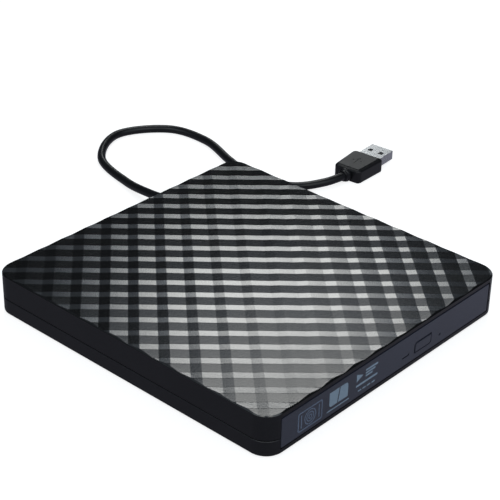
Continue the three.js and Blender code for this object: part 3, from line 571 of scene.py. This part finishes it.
def build_lid():
    """The top cover: a block with a sloped upper edge, cut off by the relief and hollowed from below."""
    corner = [(x, y, 0) for x, y in rounded_rectangle(HALF_X, HALF_Y, CORNER, CORNER_STEPS)]
    rings = [ring_at(corner, SEAM_CHAMFER, LID_LOW.z), ring_at(corner, 0, LID_LOW.z + SEAM_CHAMFER)]
    rings += [ring_at(corner, inset, LID_HIGH.z + height) for inset, height in RIM]
    bm = bmesh.new()
    add_rings(bm, rings)
    lid = to_object("top_cover_shell", bm)
    combine(lid, "INTERSECT", relief_block)
    combine(lid, "DIFFERENCE", lid_cavity)
    return lid


def paint_lid(lid, shoulder):
    """The relief and the rounded edge are glossy; the walls and everything inside are not."""
    lid.data.materials.clear()
    lid.data.materials.append(MATERIALS["case_plastic"])
    lid.data.materials.append(MATERIALS["lid_relief"])
    for face in lid.data.polygons:
        face.material_index = 1 if face.center.z > shoulder * MM else 0


def lid_posts(bm):
    for x, y in SCREW_PLACES:
        add_turned(bm, [(POST_RADIUS, LID_LOW.z + 0.4), (POST_RADIUS, LID_CEILING + 0.1)], 24, x=x, y=y)


def lid_cuts(bm):
    case_opening(bm)
    add_cable_hole(bm)
    radius = PILOT_HOLE["radius"]
    for x, y in SCREW_PLACES:
        add_turned(bm, [(radius, LID_LOW.z), (radius, PILOT_HOLE["end"])], 24, x=x, y=y)


def build_shell():
    """The bottom cover: a flat underside with a rounded edge, walls and the lip inside the lid."""
    corner = rounded_rectangle(HALF_X, HALF_Y, CORNER, CORNER_STEPS)
    border = [(x, y, 0) for x, y in corner]
    rings = []
    for step in range(6):
        turn = math.radians(90 * step / 5)
        rings.append(ring_at(border, SHELL_EDGE * (1 - math.sin(turn)), SHELL_EDGE * (1 - math.cos(turn))))
    lip_inset, seam = SHELL_LIP
    for inset, z in [(0, seam - SEAM_CHAMFER), (SEAM_CHAMFER, seam), (lip_inset, seam),
                     (lip_inset, SHELL_HIGH.z), (SHELL_WALL, SHELL_HIGH.z), (SHELL_WALL, SHELL_FLOOR)]:
        rings.append(ring_at(border, inset, z))
    bm = bmesh.new()
    add_rings(bm, rings)
    return to_object("bottom_cover_shell", bm)


def shell_posts(bm):
    low = SHELL_FLOOR - 0.2
    for x, y in SCREW_PLACES:
        add_turned(bm, [(POST_RADIUS, low), (POST_RADIUS, SHELL_LIP[1])], 24, x=x, y=y)
    radius = BOARD_POSTS["radius"]
    for x in BOARD_POSTS["x"]:
        add_turned(bm, [(radius, low), (radius, BOARD_POSTS["top"])], 24, x=x, y=BOARD_POSTS["y"])


def shell_cuts(bm):
    case_opening(bm)
    add_cable_hole(bm)
    for x, y in SCREW_PLACES:
        add_turned(bm, SCREW_HOLE, 32, x=x, y=y)
    radius = FOOT_HOLE["radius"]
    for x, y in FOOT_PLACES:
        add_turned(bm, [(radius, -1), (radius, FOOT_HOLE["depth"])], 48, x=x, y=y)
    inner = rounded_rectangle(PANEL["x"], PANEL["y"], PANEL["corner"])
    outer = rounded_rectangle(PANEL["x"] + PANEL["groove"], PANEL["y"] + PANEL["groove"],
                              PANEL["corner"] + PANEL["groove"])
    depth = PANEL["depth"]
    add_rings(bm, [at_height(inner, -1), at_height(outer, -1), at_height(outer, depth),
                   at_height(inner, depth)], closed=True)


def add_case():
    lid = build_lid()
    combine(lid, "UNION", lid_posts)
    combine(lid, "DIFFERENCE", lid_cuts)
    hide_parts("top_cover")
    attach(lid, BODY_OF["top_cover"])
    paint_lid(lid, LID_HIGH.z + RIM[0][1])
    mark_sharp(lid, SHARP_ANGLE)
    round_edges(lid, 0.12, sharp=75)
    lid.modifiers["normals"].keep_sharp = True
    shell = build_shell()
    combine(shell, "UNION", shell_posts)
    combine(shell, "DIFFERENCE", shell_cuts)
    stand_for(shell, "bottom_cover")
    round_edges(shell, 0.12)


def add_feet():
    names = [node for node in BODY_OF if node.startswith("foot_")]
    for node in names:
        low, high = box_mm(node)
        centre = (low + high) / 2
        radius = (high.x - low.x) / 2
        bm = bmesh.new()
        add_turned(bm, [
            (radius * 0.3, low.z + 0.15), (radius * 0.42, low.z), (radius - 0.6, low.z),
            (radius - 0.2, low.z + 0.12), (radius, low.z + 0.4), (radius, high.z),
        ], 64, x=centre.x, y=centre.y)
        foot = to_object(node + "_pad", bm)
        stand_for(foot, node)
        round_edges(foot, 0.05)


def add_cover_screws():
    for i, (x, y) in enumerate(SCREW_PLACES):
        node = f"cover_screw_{i + 1}"
        low, high = box_mm(node)
        head, shank = 1.8, 0.8
        head_end = low.z + 0.9
        bm = bmesh.new()
        add_turned(bm, [
            (head - 0.35, low.z), (head - 0.1, low.z + 0.12), (head, low.z + 0.35), (head, head_end),
            (shank, head_end), (shank, high.z - 0.6), (0.1, high.z),
        ], 40, x=x, y=y)
        screw = to_object(node + "_cross", bm)
        combine(screw, "DIFFERENCE", lambda cut: add_cross(cut, x, y, low.z))
        stand_for(screw, node)
        round_edges(screw, 0.03)


def add_cross(bm, x, y, z):
    """The cross recess of a screw head."""
    arm, half, depth = 1.15, 0.22, 0.6
    outline = [(arm, -half), (arm, half), (half, half), (half, arm), (-half, arm), (-half, half),
               (-arm, half), (-arm, -half), (-half, -half), (-half, -arm), (half, -arm), (half, -half)]
    rings = []
    for share, height in ((1.0, z - 0.5), (1.0, z), (0.75, z + depth)):
        rings.append([(x + px * share, y + py * share, height) for px, py in outline])
    add_rings(bm, rings)


# ---------------------------------------------------------------- front: bezel, button, marks
BUTTON = {"left": 14.2, "right": 25.3, "bottom": 4.9, "top": 9.9, "big_corner": 1.5, "small_corner": 0.9}
BUTTON_GAP = {"top_left": 0.75, "other": 0.5}
INK = {"sunk": 0.02, "proud": 0.03}
STAND_UP = Matrix.Rotation(math.radians(90), 4, "X")


def add_mark(name, build, slot):
    """A printed mark: a thin layer of ink on the bezel. build() draws prisms in (x, z), y as height."""
    bm = bmesh.new()
    face = -BEZEL_LOW.y
    build(bm, face - INK["sunk"], face + INK["proud"])
    mark = to_object(name, bm, STAND_UP)
    mark_sharp(mark, SHARP_ANGLE)
    ride_like(mark, "front_bezel", "bezel_plastic")
    mark.data.materials[0] = MATERIALS[slot]
    return mark


def ring_outline(radius, x, y, segments=40):
    return [(px, py) for px, py, _ in circle(radius, 0, segments, x, y)]


def add_frame(bm, outer, inner, low, high):
    """A flat frame between two outlines."""
    add_rings(bm, [at_height(outer, low), at_height(outer, high), at_height(inner, high),
                   at_height(inner, low)], closed=True)


def disc_mark(bm, low, high):
    """Fine rings in a rounded frame."""
    x, z = -47.9, 8.1
    outer = rounded_rectangle(6.8, 4.2, 1.0, 4, x, z)
    inner = rounded_rectangle(6.3, 3.7, 0.7, 4, x, z)
    add_frame(bm, outer, inner, low, high)
    for radius in (0.6, 1.7, 2.8):
        add_frame(bm, ring_outline(radius + 0.45, x, z), ring_outline(radius, x, z), low, high)
    for side in (-1, 1):
        add_prism(bm, rounded_rectangle(0.25, 2.9, 0.2, 2, x + side * 4.9, z), low, high)


def write_mark(bm, low, high):
    """A filled plate with a slanting stroke left open, over a short bar."""
    left, right, bottom, top = -37.2, -26.5, 6.1, 12.4
    middle = (left + right) / 2
    height = (bottom + top) / 2
    half = (right - left) / 2
    rise = (top - bottom) / 2
    for side in (-1, 1):
        corner = 1.2
        points = []
        for i in range(7):
            turn = math.radians(90 * i / 6)
            points.append((half - corner + corner * math.cos(turn), rise - corner + corner * math.sin(turn)))
        points += [(0.9, rise), (-0.3, -rise), (half, -rise)]
        add_prism(bm, [(middle + side * px, height + side * py) for px, py in points], low, high)
    add_prism(bm, rounded_rectangle(6.4, 0.25, 0.2, 2, (-38.7 - 25.5) / 2, 4.55), low, high)


def play_mark(bm, low, high):
    """A triangle beside stacked bars."""
    add_prism(bm, [(-21.5, 9.4), (-17.6, 11.1), (-21.5, 12.8)], low, high)
    for i, reach in enumerate((-8.9, -10.4, -11.9)):
        z = 12.3 - i * 1.25
        half = (reach + 16.2) / 2
        add_prism(bm, rounded_rectangle(half, 0.4, 0.3, 3, reach - half, z), low, high)
    add_prism(bm, rounded_rectangle(6.4, 0.42, 0.4, 4, -15.3, 7.5), low, high)
    for i in range(4):
        add_prism(bm, rounded_rectangle(1.0, 0.3, 0.25, 3, -19.4 + i * 2.7, 4.9), low, high)


def button_outline(top_left, other):
    """The button's outline in (x, z), moved in by one gap above and at the left, and by another elsewhere."""
    left, right = BUTTON["left"] + top_left, BUTTON["right"] - other
    bottom, top = BUTTON["bottom"] + other, BUTTON["top"] - top_left
    big, small = BUTTON["big_corner"], BUTTON["small_corner"]
    points = [(left, bottom)]
    for i in range(7):
        turn = math.radians(-90 + 15 * i)
        points.append((right - small + small * math.cos(turn), bottom + small + small * math.sin(turn)))
    points.append((right, top))
    for i in range(7):
        turn = math.radians(90 + 15 * i)
        points.append((left + big + big * math.cos(turn), top - big + big * math.sin(turn)))
    return points


def button_flange(bm):
    low, high = box_mm("eject_button")
    add_box(bm, low.x, high.x, low.z, high.z, -high.y, -high.y + 0.7)


def add_button():
    """The eject button: a cap in its opening and a wider flange behind the bezel."""
    low, high = box_mm("eject_button")
    bm = bmesh.new()
    outline = button_outline(BUTTON_GAP["top_left"], BUTTON_GAP["other"])
    add_prism(bm, outline, -high.y + 0.5, -low.y)
    cap = to_object("eject_button_cap", bm, STAND_UP)
    combine(cap, "UNION", button_flange, STAND_UP)
    stand_for(cap, "eject_button")
    round_edges(cap, 0.12)


def add_front():
    soften("front_bezel", 0.08)
    add_button()
    soften("indicator_lens", 0.05)
    add_mark("mark_disc", disc_mark, "faint_ink")
    add_mark("mark_write", write_mark, "mark_ink")
    add_mark("mark_play", play_mark, "mark_ink")


# ---------------------------------------------------------------- cable and plug
PLUG_AXIS = Vector(MOUNTS["plug_shoulder"]["axis"])
PLUG_LOW, PLUG_HIGH = box_mm("usb_plug_shell")
PLUG = {"length": 19.7, "cable_width": 14.6, "sleeve_width": 17.0, "height": 7.0, "corner": 2.2}
SLEEVE = {"width": 12.0, "height": 4.5, "sheet": 0.3, "sunk": 3.0, "reach": 12.0}
PLUG_TURN = math.atan2(PLUG_AXIS.y, PLUG_AXIS.x)
PLUG_END = Vector(MOUNTS["plug_shoulder"]["pos_m"]) / MM
PLUG_START = Vector((PLUG_END.x, PLUG_END.y, (PLUG_LOW.z + PLUG_HIGH.z) / 2)) - PLUG_AXIS * PLUG["length"]
PLUG_PLACE = Matrix.Translation(PLUG_START) @ Matrix.Rotation(PLUG_TURN, 4, "Z")
ALONG_X = Matrix.Rotation(math.radians(90), 4, "Y")


def cable_points():
    """The cable's way: out of the rear wall, down to the table, round in a loop and into the plug."""
    table = 1.25
    leaving = [(CABLE_EXIT.x, y, CABLE_EXIT.z) for y in (60, 78)]
    falling = [(37, 95, 4.4), (41.3, 115, 1.6)]
    loop = [(50.9, 142.6), (75, 156.5), (97.5, 142), (100.5, 120), (92.5, 96), (87, 75)]
    rising = [(93.5, 56, 1.4), (105, 47, 2.4)]
    into_plug = [tuple(PLUG_START - PLUG_AXIS * 3), tuple(PLUG_START)]
    points = leaving + falling + [(x, y, table) for x, y in loop] + rising + into_plug
    return [Vector(point) for point in points]


def smooth_path(points, steps):
    """A centripetal Catmull-Rom curve through the points."""
    points = [points[0] * 2 - points[1]] + points + [points[-1] * 2 - points[-2]]
    path = []
    for k in range(1, len(points) - 2):
        p = points[k - 1:k + 3]
        knots = [0.0]
        for a, b in zip(p, p[1:]):
            knots.append(knots[-1] + math.sqrt((b - a).length))
        for step in range(steps):
            t = knots[1] + (knots[2] - knots[1]) * step / steps
            path.append(blend_knots(p, knots, t))
    path.append(points[-2])
    return path


def blend_knots(p, knots, t):
    """The Catmull-Rom curve's point at t, by repeated blending of its four points."""
    level = list(p)
    for depth in (1, 2, 3):
        following = []
        for i in range(len(level) - 1):
            start = knots[i] if depth < 3 else knots[1]
            end = knots[i + depth] if depth < 3 else knots[2]
            if depth == 2:
                start, end = knots[i], knots[i + 2]
            share = (t - start) / (end - start)
            following.append(level[i] * (1 - share) + level[i + 1] * share)
        level = following
    return level[0]


def add_cable():
    bm = bmesh.new()
    add_tube(bm, smooth_path(cable_points(), CABLE_STEPS), CABLE_RADIUS, CABLE_SIDES)
    stand_for(to_object("usb_cable_jacket", bm), "usb_cable")


def add_grommet():
    """A strain relief with rings cut into its tail, drawn along Z and laid along Y."""
    bore, wall = CABLE_RADIUS + 0.3, HALF_Y
    profile = [(bore, wall - 5.2), (4, wall - 5.2), (4, wall - 3.2), (2.6, wall - 3.2), (2.6, wall + 0.3),
               (3.05, wall + 0.35), (3.2, wall + 0.5), (3.2, wall + 1.4), (3.05, wall + 1.6)]
    for i in range(3):
        y = wall + 1.9 + i * 0.95
        profile += [(2.55, y), (2.55, y + 0.25), (2.95 - 0.07 * i, y + 0.35), (2.9 - 0.07 * i, y + 0.7)]
    profile += [(2.6, wall + 4.9), (bore, wall + 5)]
    bm = bmesh.new()
    add_turned(bm, profile, 40, closed=True)
    lay = Matrix.Translation((CABLE_EXIT.x, 0, CABLE_EXIT.z)) @ Matrix.Rotation(math.radians(-90), 4, "X")
    grommet = to_object("cable_strain_relief", bm, lay)
    stand_for(grommet, "cable_grommet")
    round_edges(grommet, 0.04)


def plug_outline(inset):
    """The grip from above, which widens from the cable's end to the sleeve's."""
    length, wide, narrow = PLUG["length"], PLUG["sleeve_width"], PLUG["cable_width"]
    corner = PLUG["corner"] - min(inset, 1.5)
    outline = rounded_rectangle(length / 2 - inset, wide / 2 - inset, corner, 8, length / 2)
    return [(x, y * (narrow + (wide - narrow) * x / length) / wide) for x, y in outline]


def plug_grip(bm):
    """The moulded grip: bevelled above and below, with a panel that stands a little proud on top."""
    top = PLUG["height"] / 2
    rings = []
    for inset, z in ((1.0, -top), (0.45, -top + 0.08), (0.12, -top + 0.35), (0, -top + 0.8), (0, top - 1.3),
                     (0.12, top - 0.95), (0.45, top - 0.62), (1.5, top - 0.3), (1.62, top - 0.08),
                     (1.8, top)):
        rings.append(at_height(plug_outline(inset), z))
    add_rings(bm, rings)


def plug_collar(bm):
    """The round neck between cable and grip, with a raised ring."""
    add_turned(bm, [
        (2.5, -3.2), (2.8, -2.9), (2.8, -2.1), (3.3, -1.8), (3.45, -1.3), (3.3, -0.8), (3.0, -0.6),
        (3.0, 0.6),
    ], 48)


def plug_bore(bm):
    add_turned(bm, [(CABLE_RADIUS + 0.15, -4), (CABLE_RADIUS + 0.15, 1.2)], 48)


def plug_pocket(bm):
    gap = 0.15
    add_box(bm, PLUG["length"] - SLEEVE["sunk"] - 0.3, PLUG["length"] + 1, -SLEEVE["width"] / 2 - gap,
            SLEEVE["width"] / 2 + gap, -SLEEVE["height"] / 2 - gap, SLEEVE["height"] / 2 + gap)


def plug_arrow(bm):
    """A sunk arrow that points at the sleeve, between two dots."""
    top = PLUG["height"] / 2
    arrow = [(6.2, -0.3), (10.4, -0.3), (10.4, -1.3), (12.6, 0), (10.4, 1.3), (10.4, 0.3), (6.2, 0.3)]
    add_prism(bm, arrow, top - 0.15, top + 1)
    for y in (-2.1, 2.1):
        add_prism(bm, ring_outline(0.45, 9.2, y, 20), top - 0.15, top + 1)


def add_plug():
    bm = bmesh.new()
    plug_grip(bm)
    grip = to_object("usb_plug_grip", bm, PLUG_PLACE)
    combine(grip, "UNION", plug_collar, PLUG_PLACE @ ALONG_X)
    combine(grip, "DIFFERENCE", plug_bore, PLUG_PLACE @ ALONG_X)
    combine(grip, "DIFFERENCE", plug_pocket, PLUG_PLACE)
    combine(grip, "DIFFERENCE", plug_arrow, PLUG_PLACE)
    stand_for(grip, "usb_plug_body")
    round_edges(grip, 0.06)
    soften("usb_plug_shell", 0.05)
    soften("usb_plug_tongue", 0.05)
    add_plug_contacts()


def add_plug_contacts():
    """Four gilt contacts on the tongue."""
    bm = bmesh.new()
    below = SLEEVE["height"] / 2 - SLEEVE["sheet"] - 0.1 - 1.9
    end = PLUG["length"] + SLEEVE["reach"]
    for i, start in enumerate((9.2, 8.2, 8.2, 9.2)):
        y = -3.5 + i * 7 / 3
        add_box(bm, end - start, end - 1.6, y - 0.5, y + 0.5, below - 0.06, below + 0.02)
    contacts = to_object("usb_plug_contacts", bm, PLUG_PLACE)
    ride_like(contacts, "usb_plug_tongue", "brass")


# ---------------------------------------------------------------- tray, spindle and pickup
def add_tray_ribbon():
    """The flat cable: along the housing floor, back in a fold and forward again under the tray."""
    low, high = box_mm("tray_ribbon")
    thickness, fold, end = 0.2, -36.0, 23.0
    lower, upper, start = 3.0, 4.0, high.y
    radius = (upper + thickness - lower) / 2
    middle = lower + radius

    def side(gap):
        """The outline of one face, gap inside the outer one."""
        length = start - fold
        points = [(start - length * i / 40, lower + gap) for i in range(41)]
        for i in range(1, 12):
            turn = math.radians(180 * i / 12)
            points.append((fold - (radius - gap) * math.sin(turn), middle - (radius - gap) * math.cos(turn)))
        points += [(fold + (end - fold) * i / 60, upper + thickness - gap) for i in range(61)]
        return points

    outer, inner = side(0), side(thickness)
    outer += [(end, upper + 1.6)]
    inner += [(end + thickness, upper), (end + thickness, upper + 1.6)]
    inner[-3] = (end, upper)
    bm = bmesh.new()
    outline = outer + inner[::-1]
    add_rings(bm, [[(x, y, z) for y, z in outline] for x in (low.x, high.x)])
    ribbon = to_object("tray_flat_cable", bm)
    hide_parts("tray_ribbon")
    ribbon.data.materials.append(MATERIALS["ribbon_film"])
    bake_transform(ribbon)


def add_lead_screw():
    """A rod with a spiral groove, 3 mm of travel per turn."""
    path_low, radius, depth, lead = -55.2, 1.1, 0.2, 3.0
    end, step, sides = 4.0, 0.2, 24
    plain_end, groove_slope = 1.0, 2.2
    rings = []
    count = round((end - path_low) / step)
    for i in range(count + 1):
        y = path_low + step * i
        near_end = min(y - path_low, end - y) < plain_end
        ring = []
        for k in range(sides):
            turn = k / sides
            groove = abs(((y / lead + turn) % 1) - 0.5) * 2
            reach = radius if near_end else radius - depth * max(0.0, 1 - groove_slope * groove)
            ring.append((reach * math.cos(2 * math.pi * turn), y, reach * math.sin(2 * math.pi * turn)))
        rings.append(ring)
    bm = bmesh.new()
    add_rings(bm, rings)
    screw = to_object("lead_screw_thread", bm, TRAVERSE @ Matrix.Translation((-21.5, 0, 7.4)))
    stand_for(screw, "lead_screw")
    round_edges(screw, 0.05)


def add_turned_piece(name, node, profile, closed=False, edge=0.06, cuts=None):
    """A turned part of the spindle in place of its CAD node, with cuts if cuts() draws them."""
    bm = bmesh.new()
    add_turned(bm, profile, SPINDLE_SIDES, closed)
    piece = to_object(name, bm, TRAVERSE)
    if cuts:
        combine(piece, "DIFFERENCE", cuts, TRAVERSE)
    stand_for(piece, node)
    round_edges(piece, edge)


def claw_slots(bm):
    for i in range(3):
        turn = Matrix.Rotation(2 * math.pi * i / 3, 4, "Z")
        corners = [(4.6, -1.7), (9, -1.7), (9, 1.7), (4.6, 1.7)]
        add_rings(bm, [[turn @ Vector((x, y, z)) for x, y in corners] for z in (12.6, 14.5)])


def add_spindle():
    add_turned_piece("spindle_can", "spindle_rotor", [
        (1.2, 7.5), (1.2, 9.7), (10.4, 9.7), (10.4, 8.4), (11.4, 8.4), (11.4, 10.1), (11.1, 10.4)])
    add_turned_piece("spindle_turntable", "turntable", [
        (13.2, 10.5), (13.2, 11.4), (8.0, 11.5), (7.4, 11.8), (7.4, 13.1), (6.9, 13.6), (6.2, 13.9),
        (3.2, 13.9), (3.0, 13.6)], cuts=claw_slots)
    add_turned_piece("turntable_pad", "turntable_ring", [
        (10, 11.55), (13, 11.55), (13, 11.72), (12.9, 11.8), (10.1, 11.8), (10, 11.72),
    ], closed=True, edge=0.02)
    add_turned_piece("spindle_base", "spindle_stator", [
        (1.6, 7.3), (13, 7.3), (13, 8.0), (9.6, 8.0), (9.6, 9.3), (1.6, 9.3)], closed=True)
    for i in range(3):
        soften(f"clamp_claw_{i + 1}", 0.12)


def add_objective_lens():
    low, high = box_mm("objective_lens")
    centre = (low + high) / 2
    radius, dome, tip = 1.3, 0.45, 0.05
    profile = [(radius, low.z), (radius, high.z - dome)]
    for i in range(1, 7):
        turn = math.radians(15 * i)
        reach = radius * math.cos(turn) if i < 6 else tip
        profile.append((reach, high.z - dome + dome * math.sin(turn)))
    bm = bmesh.new()
    add_turned(bm, profile, 48, x=centre.x, y=centre.y)
    stand_for(to_object("objective_lens_dome", bm), "objective_lens")


def add_eject_spring():
    low, high = box_mm("eject_spring")
    centre = (low + high) / 2
    wire = 0.25
    radius = (high.x - low.x) / 2 - wire
    turns, steps = 6, 24
    path = []
    for i in range(turns * steps + 1):
        angle = 2 * math.pi * i / steps
        y = low.y + wire + (high.y - low.y - 2 * wire) * i / (turns * steps)
        path.append(Vector((centre.x + radius * math.cos(angle), y, centre.z + radius * math.sin(angle))))
    bm = bmesh.new()
    add_tube(bm, path, wire, 10)
    stand_for(to_object("eject_spring_wire", bm), "eject_spring")


def add_mechanism():
    soften("tray_body", 0.2, 3)
    add_tray_ribbon()
    add_lead_screw()
    add_spindle()
    add_objective_lens()
    add_eject_spring()


def dress_frame():
    """Every CAD node that still shows gets softened edges and its slot's material."""
    for node, piece in frame["nodes"].items():
        if piece.hide_render:
            continue
        if not piece.modifiers:
            soften(node, 0.08)
        piece.material_slots[0].material = MATERIALS[SLOT_OF[node]]


# ---------------------------------------------------------------- table, light and camera
VIEW = {"azimuth": -48.39, "elevation": 29.81, "roll": 1.3, "distance": 0.6564, "lens": 107.88}
VIEW_TARGET = Vector((0.0362, 0.0316, 0))
TABLE_GLOW = 0.78       # what the camera sees of the table beyond the light that falls on it
# Soft lights in the sky, in degrees. Azimuth 0 is straight behind the object as the camera sees it.
# Each is full strength in the core share of its ellipse and fades to nothing at the border.
SOFTBOXES = (
    {"azimuth": 0.9, "elevation": 20.8, "half_width": 8.2, "half_height": 6.0, "core": 0.15, "strength": 5.8},
    {"azimuth": 4.3, "elevation": 58, "half_width": 20.5, "half_height": 20, "core": 0.15, "strength": 9},
    {"azimuth": 0, "elevation": 21, "half_width": 20, "half_height": 12, "core": 0.0, "strength": 0.25},
    {"azimuth": 0, "elevation": 90, "half_width": 1000, "half_height": 24, "core": 0.3, "strength": 0.9},
    {"azimuth": 140, "elevation": 32, "half_width": 55, "half_height": 28, "core": 0.3, "strength": 1.5},
    {"azimuth": -140, "elevation": 32, "half_width": 55, "half_height": 28, "core": 0.3, "strength": 1.5},
    {"azimuth": 160, "elevation": 44, "half_width": 20, "half_height": 18, "core": 0.3, "strength": 2},
    {"azimuth": -160, "elevation": 44, "half_width": 20, "half_height": 18, "core": 0.3, "strength": 2},
)
ROOM = 0.03             # light from everywhere else in the sky


def add_table():
    """A pale table: white where the camera sees it. In the object's reflections it shows a painted reflection
    instead: a dim bluish grey glow that brightens along +x.
    """
    bm = bmesh.new()
    reach = 3000
    corners = [(-reach, -reach), (reach, -reach), (reach, reach), (-reach, reach)]
    bm.faces.new([bm.verts.new(point) for point in at_height(corners, 0)])
    table = to_object("table", bm, Matrix.Translation((0, 0, CAD_BOUNDS[0].z / MM)))
    material, shader, place = new_material("table")
    rays = shader.add("ShaderNodeLightPath", {})
    across = shader.add("ShaderNodeSeparateXYZ", {"Vector": place}).outputs[0]
    # Painted reflection: glossy rays see the table glow a dim bluish grey, brighter along +x, which sets how
    # bright the walls look in reflection.
    painted_reflection_grey = shader.ramp(across, -0.08, 0.16, 0.14, 0.3)
    painted_reflection_tint = shader.add("ShaderNodeCombineColor", {0: painted_reflection_grey, 1: painted_reflection_grey, 2: shader.math("MULTIPLY", painted_reflection_grey, 1.2)})
    seen = shader.add("ShaderNodeEmission", {"Color": colour(1, 1, 1), "Strength": TABLE_GLOW})
    matt = shader.add("ShaderNodeBsdfDiffuse", {"Color": colour(0.55, 0.55, 0.55)})
    lit = shader.add("ShaderNodeAddShader", {0: matt.outputs[0], 1: seen.outputs[0]})
    painted_reflection_glow = shader.add("ShaderNodeEmission", {"Color": painted_reflection_tint.outputs[0], "Strength": 1.0})
    to_camera = shader.add("ShaderNodeMixShader", {0: rays.outputs["Is Camera Ray"], 1: matt.outputs[0],
                                                   2: lit.outputs[0]})
    # Glossy rays see the painted reflection glow in place of the lit table.
    surface = shader.add("ShaderNodeMixShader", {0: rays.outputs["Is Glossy Ray"], 1: to_camera.outputs[0],
                                                 2: painted_reflection_glow.outputs[0]})
    shader.add("ShaderNodeOutputMaterial", {"Surface": surface.outputs[0]})
    table.data.materials.append(material)


def add_studio():
    """Soft studio light: a dim room with the softboxes in its sky, seen as white by the camera."""
    world = bpy.data.worlds.new("studio")
    bpy.context.scene.world = world
    world.use_nodes = True
    shader = Shader(world.node_tree)
    direction = shader.add("ShaderNodeTexCoord", {}).outputs["Generated"]
    inputs = {"Vector": direction, "Angle": math.radians(-VIEW["azimuth"])}
    turned = shader.add("ShaderNodeVectorRotate", inputs, rotation_type="Z_AXIS").outputs[0]
    parts = shader.add("ShaderNodeSeparateXYZ", {"Vector": turned})
    side, ahead, up = parts.outputs
    elevation = shader.math("MULTIPLY", shader.math("ARCSINE", up), 180 / math.pi)
    azimuth = shader.math("MULTIPLY", shader.math("ARCTAN2", side, ahead), 180 / math.pi)
    total = ROOM
    for light in SOFTBOXES:
        across = shader.math("DIVIDE", shader.math("SUBTRACT", azimuth, light["azimuth"]),
                             light["half_width"])
        upward = shader.math("DIVIDE", shader.math("SUBTRACT", elevation, light["elevation"]),
                             light["half_height"])
        squares = [shader.math("MULTIPLY", value, value) for value in (across, upward)]
        distance = shader.math("SQRT", shader.math("ADD", *squares))
        total = shader.math("ADD", total, shader.ramp(distance, light["core"], 1.0, light["strength"], 0.0))
    seen = shader.add("ShaderNodeLightPath", {}).outputs["Is Camera Ray"]
    level = shader.math("ADD", shader.math("MULTIPLY", total, shader.math("SUBTRACT", 1, seen)), seen)
    tint = shader.mix(shader.ramp(total, 0.05, 3.0), colour(0.84, 0.97, 1.12), colour(0.985, 1.0, 0.985))
    shown = shader.mix(seen, tint, colour(1, 1, 1))
    light = shader.add("ShaderNodeBackground", {"Color": shown, "Strength": level})
    shader.add("ShaderNodeOutputWorld", {"Surface": light.outputs[0]})


def add_camera():
    """The camera looks at the drive's front corner from above, as far off as a product shot."""
    turn, lift, roll = (math.radians(VIEW[key]) for key in ("azimuth", "elevation", "roll"))
    back = Vector((math.sin(turn) * math.cos(lift), -math.cos(turn) * math.cos(lift), math.sin(lift)))
    right = Vector((math.cos(turn), math.sin(turn), 0))
    up = back.cross(right)
    rolled_right = right * math.cos(roll) + up * math.sin(roll)
    rolled_up = up * math.cos(roll) - right * math.sin(roll)
    data = bpy.data.cameras.new("camera")
    data.lens = VIEW["lens"]
    data.sensor_width = 36
    camera = bpy.data.objects.new("camera", data)
    bpy.context.scene.collection.objects.link(camera)
    axes = Matrix((rolled_right, rolled_up, back)).transposed().to_4x4()
    camera.matrix_world = Matrix.Translation(VIEW_TARGET + back * VIEW["distance"]) @ axes
    bpy.context.scene.camera = camera


add_case()
add_feet()
add_cover_screws()
add_front()
add_cable()
add_grommet()
add_plug()
add_mechanism()
dress_frame()
add_table()
add_studio()
add_camera()
bpy.context.scene.view_settings.view_transform = "Standard"
